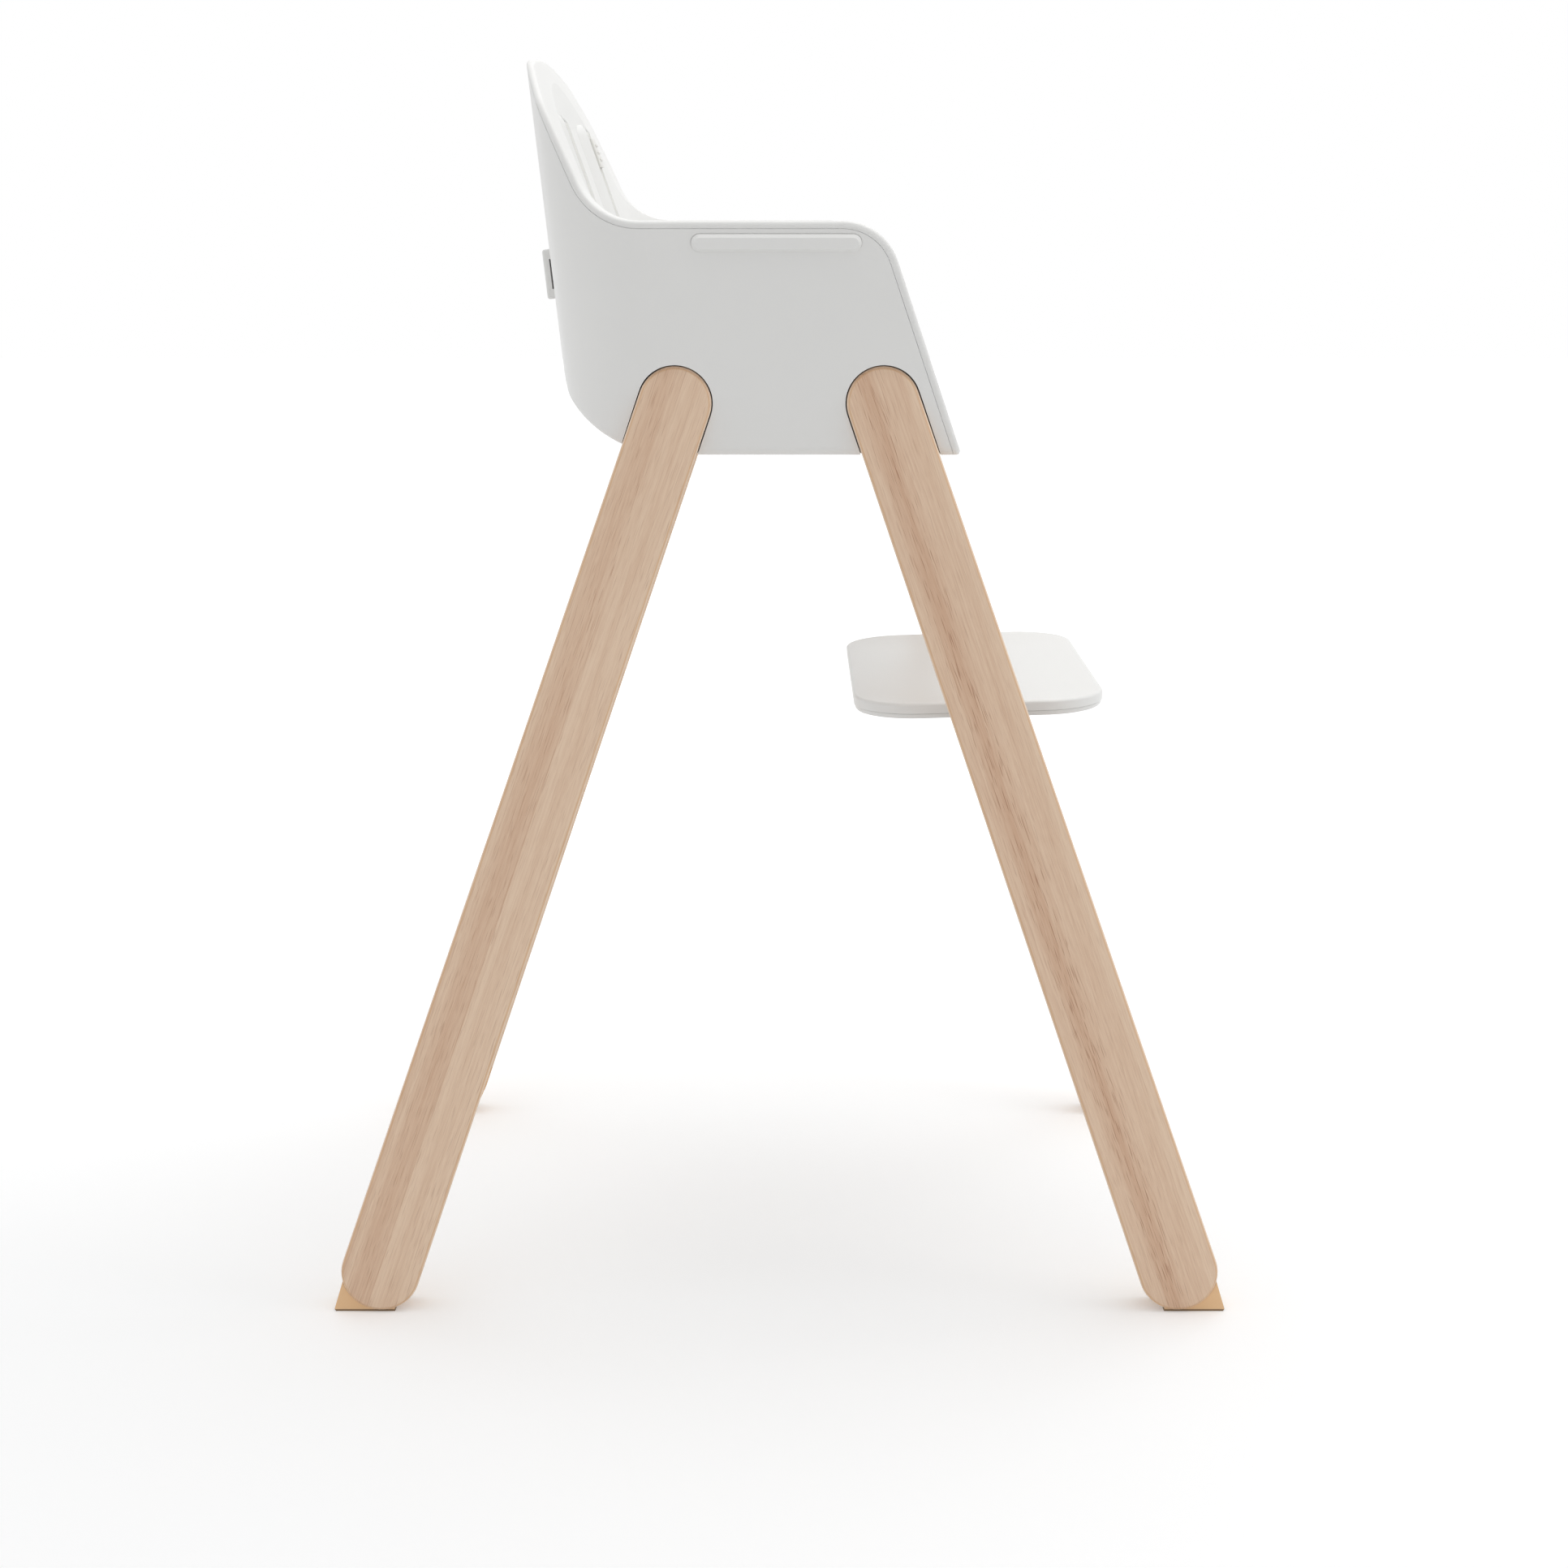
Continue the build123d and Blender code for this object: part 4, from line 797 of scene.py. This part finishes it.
@dataclass
class Ribbon:
    """A strip laid out by hand: a row of edges is run on, folded and turned along its course.

    Args:
        name: the piece's name.
        at: the middle of the strip's leading edge, at first its start.
        heading: the way it runs.
        face: the way its upper face looks.
        width: across the strip.
        thickness: through the strip.
        columns: faces across the strip.
        first: how long the first row is.
        row: how long about each row of a straight run is.
        selvedge: the bevel along its edges.
        selvedge_angle: how sharp an edge has to be to be bevelled, in radians.
    """

    name: str
    at: Vector
    heading: Vector
    face: Vector
    width: float = 0.020
    thickness: float = 0.0016
    columns: int = 4
    first: float = 0.002
    row: float = 0.009
    selvedge: float = 0.0005
    selvedge_angle: float = math.radians(50.0)
    start: Vector = field(init=False)
    across: Vector = field(init=False)
    lead: Vector = field(init=False)

    def begin(self) -> None:
        """Lays the strip's first short length and takes up its leading edge."""
        self.start = self.at.copy()
        self.across = self.heading.cross(self.face).normalized()
        self.lead = self.across.copy()
        bpy.ops.object.select_all(action="DESELECT")
        bpy.ops.mesh.primitive_grid_add(x_subdivisions=self.columns, y_subdivisions=1, size=1.0)
        strip = bpy.context.object
        strip.name = self.name
        middle = self.at + self.heading * (self.first / 2.0)
        axes = Matrix((self.across * self.width, self.heading * self.first, self.face)).transposed()
        strip.matrix_world = Matrix.Translation(middle) @ axes.to_4x4()
        bpy.ops.object.transform_apply(location=True, rotation=True, scale=True)
        self.at = self.at + self.heading * self.first
        bpy.ops.object.mode_set(mode="EDIT")
        bpy.ops.mesh.select_mode(type="EDGE")
        bpy.ops.mesh.select_all(action="DESELECT")
        mesh = bmesh.from_edit_mesh(strip.data)
        for edge in mesh.edges:
            edge.select = all((vertex.co - self.at).dot(self.heading) > -TOUCHING for vertex in edge.verts)
        mesh.select_flush_mode()
        bmesh.update_edit_mesh(strip.data)

    def run(self, length: float) -> None:
        """Runs the strip straight on.

        Args:
            length: how far, in metres.
        """
        count = max(1, round(length / self.row))
        for _ in range(count):
            step = self.heading * (length / count)
            bpy.ops.mesh.extrude_edges_move(TRANSFORM_OT_translate={"value": step})
        self.at = self.at + self.heading * length

    def swing(self, centre: Vector, axis: Vector, angle: float, steps: int) -> None:
        """Spins the leading edge about an axis.

        Args:
            centre: a point of the axis.
            axis: its direction.
            angle: how far, right-handed, in radians.
            steps: how many rows.
        """
        bpy.ops.mesh.spin(steps=steps, angle=-angle, center=centre, axis=axis)
        turned = Matrix.Rotation(angle, 3, axis)
        self.at = centre + turned @ (self.at - centre)
        self.heading = turned @ self.heading
        self.face = turned @ self.face
        self.across = turned @ self.across

    def fold(self, radius: float, angle: float, steps: int = 8) -> None:
        """Bends the strip out of its plane.

        Args:
            radius: of the middle of the strip.
            angle: positive towards its upper face, in radians.
            steps: how many rows.
        """
        centre = self.at + self.face * math.copysign(radius, angle)
        self.swing(centre, self.across, angle, steps)

    def turn(self, radius: float, angle: float, steps: int = 8) -> None:
        """Turns the strip within its plane.

        Args:
            radius: of the middle of the strip.
            angle: positive towards its left, seen from its upper face, in radians.
            steps: how many rows.
        """
        centre = self.at - self.across * math.copysign(radius, angle)
        self.swing(centre, self.face, angle, steps)

    def finish(self, cut: tuple[Vector, Vector] | None = None) -> bpy.types.Object:
        """Cuts the strip's end, unrolls its UV map and gives it its thickness.

        Args:
            cut: a point and a direction; what lies past the point that way goes.

        Returns:
            The strip.
        """
        strip = bpy.context.object
        bpy.ops.object.mode_set(mode="OBJECT")
        self.unroll(strip.data)
        if cut is not None:
            bpy.ops.object.mode_set(mode="EDIT")
            bpy.ops.mesh.select_all(action="SELECT")
            bpy.ops.mesh.bisect(plane_co=cut[0], plane_no=cut[1], clear_outer=True)
            bpy.ops.object.mode_set(mode="OBJECT")
        body = strip.modifiers.new("body", "SOLIDIFY")
        body.thickness = self.thickness
        body.offset = 0.0
        bpy.ops.object.modifier_apply(modifier="body")
        selvedge = strip.modifiers.new("selvedge", "BEVEL")
        selvedge.width = self.selvedge
        selvedge.segments = 2
        selvedge.limit_method = "ANGLE"
        selvedge.angle_limit = self.selvedge_angle
        bpy.ops.object.modifier_apply(modifier="selvedge")
        bpy.ops.object.shade_smooth_by_angle(angle=SMOOTH_ANGLE)
        return strip

    def unroll(self, mesh: bpy.types.Mesh) -> None:
        """Writes the strip's UV map in metres: along the strip and across it.

        Args:
            mesh: the strip's mesh, still one sheet.
        """
        beside: dict[int, set[int]] = {vertex.index: set() for vertex in mesh.vertices}
        for edge in mesh.edges:
            first, second = edge.vertices
            beside[first].add(second)
            beside[second].add(first)
        spread: dict[int, Pair] = {}
        row = []
        for vertex in mesh.vertices:
            away = vertex.co - self.start
            if (away - self.lead * away.dot(self.lead)).length < TOUCHING:
                spread[vertex.index] = (0.0, away.dot(self.lead))
                row.append(vertex.index)
        along = 0.0
        while row:
            ahead = [(here, there) for here in row for there in beside[here] if there not in spread]
            gaps = [(mesh.vertices[here].co - mesh.vertices[there].co).length for here, there in ahead]
            along += sum(gaps) / max(1, len(gaps))
            for here, there in ahead:
                spread[there] = (along, spread[here][1])
            row = [there for _, there in ahead]
        layer = mesh.uv_layers.active
        for loop in mesh.loops:
            layer.data[loop.index].uv = spread[loop.vertex_index]


@dataclass
class Harness:
    """Five webbing straps, two sliding adjusters and a press-button buckle.

    Args:
        palette: the chair's finishes.
        slot: where a shoulder strap starts inside its slot, on the left.
        slot_run: how far it runs forward to the corner where it turns down the back.
        slot_bend: the radius of a strap's bend out of its slot.
        lean: how far the back leans, in radians.
        back_run: from that corner to the one where the strap turns onto the pan.
        pan_bend: the radius of that bend.
        pan_run: from there to the corner where it turns in to the buckle.
        turn_y: the Y of that corner.
        meet: the X and Y where it enters the buckle's tongue.
        meet_turn: the radius of the turn towards it.
        over_run: how far it is run past the tongue before it is cut.
        pan_slot_z: where the lower straps start, under the pan.
        lower_z: the height at which they lie.
        waist_x: the waist slots' distance from the middle.
        crotch_y, crotch_end: where the crotch strap leaves its slot and enters the buckle.
        slot_rows, pan_rows, meet_rows: rows of faces in those three bends.
        guide_start: where a guide is full height, below the corner at the slot.
        guide_run: how long it stays so.
        guide_dive: how steeply its ends sink into the back, in radians.
        guide_bend, guide_dip: the bend's radius and the straight stretch of an end.
        guide_inner, guide_outer: crest and foot of the guides beside a strap, each as X and depth.
        guide_thickness: a guide's wall.
        adjuster_front: from an adjuster's middle to its front face.
        ridge_width, ridge_length, ridge_depth: a finger ridge's size, with half its depth sunk.
        ridge_pitch: from one ridge to the next.
        ridge_round: the rounding of its edges.
        ridge_copies: how many more there are after the lowest.
    """

    palette: Palette
    slot: Triple = (0.094, 0.1612, 0.8248)
    slot_run: float = 0.01477
    slot_bend: float = 0.003
    lean: float = math.radians(19.3164)
    back_run: float = 0.19180
    pan_bend: float = 0.038
    pan_run: float = 0.04499
    turn_y: float = 0.038
    meet: Pair = (0.0326, 0.004)
    meet_turn: float = 0.016
    over_run: float = 0.008
    pan_slot_z: float = 0.6335
    lower_z: float = 0.6417
    waist_x: float = 0.115
    crotch_y: float = -0.068
    crotch_end: float = -0.0253
    slot_rows: int = 6
    pan_rows: int = 10
    meet_rows: int = 9
    guide_start: float = 0.0026
    guide_run: float = 0.1388
    guide_dive: float = math.radians(30.0)
    guide_bend: float = 0.012
    guide_dip: float = 0.003
    guide_inner: tuple[Pair, Pair] = ((0.0797, -0.0010), (0.066, 0.0060))
    guide_outer: tuple[Pair, Pair] = ((0.1085, -0.0010), (0.120, 0.0040))
    guide_thickness: float = 0.0016
    adjuster_front: float = 0.0026
    ridge_width: float = 0.019
    ridge_pitch: float = 0.0055
    ridge_length: float = 0.00176
    ridge_depth: float = 0.0022
    ridge_round: float = 0.00066
    ridge_copies: int = 2

    @property
    def down(self) -> Vector:
        """The way a shoulder strap runs down the back."""
        return Vector((0.0, -math.sin(self.lean), -math.cos(self.lean)))

    @property
    def front(self) -> Vector:
        """The way the inner face of the back looks."""
        return Vector((0.0, -math.cos(self.lean), math.sin(self.lean)))

    def build(self) -> None:
        """Lays the straps and dresses the buckle and the adjusters."""
        for side in Side:
            self.lay_shoulder(side)
            self.lay_waist(side)
            self.lay_guide(side, "inner", *self.guide_inner)
            self.lay_guide(side, "outer", *self.guide_outer)
        self.lay_crotch()
        dress(self.palette.trim, "buckle_base", "buckle_cover", "buckle_tongue_left", "buckle_tongue_right")
        for side in Side:
            dress(self.palette.trim, f"strap_adjuster_{side.name.lower()}")
            self.ridge_adjuster(side)
        dress(self.palette.button, "buckle_button")
        dress(self.palette.steel, "buckle_spring")
        dress(self.palette.trim, "strap_anchors")

    def hand_over(self, strap: bpy.types.Object, node: str) -> None:
        """Puts a strap in its CAD solid's place.

        Args:
            strap: the modelled webbing.
            node: the solid it stands for.
        """
        strap.data.materials.append(self.palette.webbing)
        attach(strap, "chair")
        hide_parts(node)
        log.info("%s laid in place of %s", strap.name, node)

    def lay_shoulder(self, side: Side) -> None:
        """Lays a shoulder strap from its slot down the back and across to the buckle."""
        sign = side.value
        fall = QUARTER_TURN - self.lean
        slot_tangent = self.slot_bend * math.tan(fall / 2.0)
        pan_tangent = self.pan_bend * math.tan(fall / 2.0)
        inward = self.slot[0] - self.meet[0]
        forward = self.turn_y - self.meet[1]
        bend = math.atan2(inward, forward)
        meet_tangent = self.meet_turn * math.tan(bend / 2.0)
        strap = Ribbon(
            f"shoulder_webbing_{side.name.lower()}",
            Vector((sign * self.slot[0], self.slot[1], self.slot[2])),
            Vector((0.0, -1.0, 0.0)),
            Vector((0.0, 0.0, 1.0)),
        )
        strap.begin()
        strap.run(self.slot_run - strap.first - slot_tangent)
        strap.fold(self.slot_bend, -fall, self.slot_rows)
        strap.run(self.back_run - slot_tangent - pan_tangent)
        strap.fold(self.pan_bend, fall, self.pan_rows)
        strap.run(self.pan_run - pan_tangent - meet_tangent)
        strap.turn(self.meet_turn, -sign * bend, self.meet_rows)
        strap.run(math.hypot(inward, forward) - meet_tangent + self.over_run)
        end = Vector((sign * self.meet[0], 0.0, 0.0))
        piece = strap.finish((end, Vector((-sign, 0.0, 0.0))))
        self.hand_over(piece, f"shoulder_strap_{side.name.lower()}")

    def lay_from_pan(self, name: str, slot: Pair, face: Triple, reach: float) -> bpy.types.Object:
        """Lays a strap up out of its slot in the pan and along the pan to the buckle.

        Args:
            name: the strap's name.
            slot: the slot's X and Y.
            face: the way the strap's upper face looks in the slot, away from the buckle.
            reach: how far the strap runs on along the pan.

        Returns:
            The strap.
        """
        strap = Ribbon(name, Vector((*slot, self.pan_slot_z)), Vector((0.0, 0.0, 1.0)), Vector(face))
        strap.begin()
        strap.run(self.lower_z - self.pan_slot_z - strap.first - self.slot_bend)
        strap.fold(self.slot_bend, -QUARTER_TURN, self.slot_rows)
        strap.run(reach)
        return strap.finish()

    def lay_waist(self, side: Side) -> None:
        """Lays a waist strap from its slot in the pan to the buckle."""
        sign = side.value
        name = side.name.lower()
        reach = self.waist_x - self.slot_bend - self.meet[0]
        strap = self.lay_from_pan(
            f"waist_webbing_{name}", (sign * self.waist_x, 0.0), (sign, 0.0, 0.0), reach
        )
        self.hand_over(strap, f"waist_strap_{name}")

    def lay_crotch(self) -> None:
        """Lays the crotch strap from its slot in the pan to the buckle."""
        reach = self.crotch_end - self.crotch_y - self.slot_bend
        strap = self.lay_from_pan("crotch_webbing", (0.0, self.crotch_y), (0.0, -1.0, 0.0), reach)
        self.hand_over(strap, "crotch_strap")

    def lay_guide(self, side: Side, flank: str, crest: Pair, foot: Pair) -> None:
        """Lays a moulded guide that stands on the back along one edge of a shoulder strap.

        Args:
            side: whose strap.
            flank: which edge of the strap, inner or outer.
            crest: the guide's high edge, as X and depth behind the middle of the strap.
            foot: its low edge, sunk in the back, likewise.
        """
        edge, root = (
            Vector((side.value * aside, 0.0, 0.0)) - self.front * depth for aside, depth in (crest, foot)
        )
        face = self.down.cross(edge - root).normalized()
        face = face if face.dot(self.front) > 0.0 else -face
        corner = Vector((0.0, self.slot[1] - self.slot_run, self.slot[2]))
        middle = corner + (edge + root) / 2.0 - face * (self.guide_thickness / 2.0)
        rise = math.sin(self.guide_dive)
        level = math.cos(self.guide_dive)
        top = self.guide_start - self.guide_dip * level - self.guide_bend * rise
        sunk = self.guide_dip * rise + self.guide_bend * (1.0 - level)
        guide = Ribbon(
            f"strap_guide_{flank}_{side.name.lower()}",
            middle + self.down * top - face * sunk,
            self.down * level + face * rise,
            face * level - self.down * rise,
            (edge - root).length,
            self.guide_thickness,
        )
        guide.begin()
        guide.run(self.guide_dip - guide.first)
        guide.fold(self.guide_bend, -self.guide_dive)
        guide.run(self.guide_run)
        guide.fold(self.guide_bend, -self.guide_dive)
        guide.run(self.guide_dip)
        piece = guide.finish()
        piece.data.materials.append(self.palette.bucket)
        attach(piece, "chair")
        log.info("%s stands on the back", piece.name)

    def ridge_adjuster(self, side: Side) -> None:
        """Models the finger ridges on the front of an adjuster, which ride with it."""
        name = side.name.lower()
        low, high = (Vector(corner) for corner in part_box(f"strap_adjuster_{name}"))
        step = self.down * -self.ridge_pitch
        lowest = (low + high) / 2.0 + self.front * self.adjuster_front - step
        bpy.ops.object.select_all(action="DESELECT")
        bpy.ops.mesh.primitive_cube_add(size=1.0)
        ridges = bpy.context.object
        ridges.name = f"adjuster_ridges_{name}"
        across = Vector((self.ridge_width, 0.0, 0.0))
        axes = Matrix((across, self.down * -self.ridge_length, self.front * self.ridge_depth)).transposed()
        ridges.matrix_world = Matrix.Translation(lowest) @ axes.to_4x4()
        bpy.ops.object.transform_apply(location=True, rotation=True, scale=True)
        bpy.ops.object.mode_set(mode="EDIT")
        bpy.ops.mesh.select_all(action="SELECT")
        bpy.ops.mesh.normals_make_consistent(inside=False)
        for _ in range(self.ridge_copies):
            bpy.ops.mesh.duplicate_move(TRANSFORM_OT_translate={"value": step})
        bpy.ops.object.mode_set(mode="OBJECT")
        soft = ridges.modifiers.new("soft", "BEVEL")
        soft.width = self.ridge_round
        soft.segments = 3
        bpy.ops.object.modifier_apply(modifier="soft")
        bpy.ops.object.shade_smooth_by_angle(angle=SMOOTH_ANGLE)
        ridges.data.materials.append(self.palette.trim)
        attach(ridges, f"adjuster_{name}")
        log.info("%s ride on adjuster_%s", ridges.name, name)


@dataclass
class Seat:
    """The moulded bucket in its outer shell, with its tray rails and strap keeper."""

    palette: Palette

    def build(self) -> None:
        """Dresses the seat's nodes."""
        dress(self.palette.shell, "seat_outer_shell")
        dress(self.palette.bucket, "seat_inner_shell")
        dress(self.palette.rail, "strap_keeper", "tray_rail_left", "tray_rail_right")
        dress(self.palette.steel, "shell_screws", "rail_screws", "keeper_screws")


@dataclass
class LegFrame:
    """Four wooden legs with their feet, on a steel frame inside the seat.

    Args:
        palette: the chair's finishes.
        rear_figure, front_figure: the reddish share at places across a leg.
        rear_pores, front_pores: the depth of its pores, likewise.
        rear_seam: where the glued seam of a rear leg lies.
        seed, seed_left, seed_front: the right rear leg's figure, and what a side and an end add to it.
    """

    palette: Palette
    rear_figure: Stops = (
        (0.02, 0.12), (0.20, 0.20), (0.33, 0.34), (0.44, 0.16), (0.56, 0.36), (0.70, 0.62), (0.80, 0.52),
        (0.90, 0.30), (0.98, 0.70),
    )
    rear_pores: Stops = ((0.0, 0.42), (0.45, 0.18), (0.55, 0.45), (0.75, 0.40), (1.0, 0.30))
    rear_seam: float = 0.0012
    front_figure: Stops = (
        (0.02, 0.24), (0.12, 0.10), (0.22, 0.36), (0.32, 0.42), (0.42, 0.36), (0.54, 0.60), (0.63, 0.95),
        (0.71, 0.78), (0.80, 0.42), (0.90, 0.34), (0.98, 0.44),
    )
    front_pores: Stops = ((0.0, 0.15), (0.40, 0.25), (0.60, 0.90), (0.72, 0.70), (0.85, 0.25))
    seed: float = 3.1
    seed_left: float = 2.3
    seed_front: float = 7.7

    def build(self) -> None:
        """Dresses the legs, the feet and the frame."""
        for side in Side:
            for end in End:
                self.finish_leg(end, side)
            dress(self.palette.steel, f"leg_bracket_{side.name.lower()}")
        dress(self.palette.steel, "cross_bar_rear", "cross_bar_front", "leg_bolts", "foot_screws")
        dress(self.palette.brass, "leg_inserts")

    def finish_leg(self, end: End, side: Side) -> None:
        """Gives a leg its own board of wood, and its foot its tan plastic."""
        place = f"{end.name.lower()}_{side.name.lower()}"
        seed = self.seed + self.seed_left * (side is Side.LEFT) + self.seed_front * (end is End.FRONT)
        rear = end is End.REAR
        wood = LegWood(
            f"leg_wood_{place}",
            end,
            seed,
            self.rear_figure if rear else self.front_figure,
            self.rear_pores if rear else self.front_pores,
            self.rear_seam if rear else None,
        )
        dress(wood.material(), f"leg_{place}")
        dress(self.palette.foot, f"foot_{place}")


@dataclass
class Footrest:
    """The dished footrest on two arms, with its clamps and the tracks in the front legs."""

    palette: Palette

    def build(self) -> None:
        """Dresses the footrest's nodes."""
        dress(self.palette.footrest, "footrest_plate", "footrest_cover")
        for side in Side:
            name = side.name.lower()
            dress(self.palette.steel, f"footrest_arm_{name}", f"clamp_stud_{name}")
            dress(self.palette.track, f"footrest_track_{name}", f"track_shoe_{name}")
            dress(self.palette.knob, f"clamp_knob_{name}")
        dress(self.palette.steel, "arm_screws", "track_screws")


def main() -> None:
    """Builds the chair's looks and reports each piece."""
    logging.basicConfig(level=logging.INFO, format="%(message)s")
    bpy.ops.object.select_all(action="DESELECT")
    bpy.context.scene.view_settings.view_transform = "Standard"
    Studio().build()
    palette = Palette()
    for assembly in (Seat(palette), LegFrame(palette), Footrest(palette), Harness(palette)):
        assembly.build()


if __name__ == "__main__":
    main()
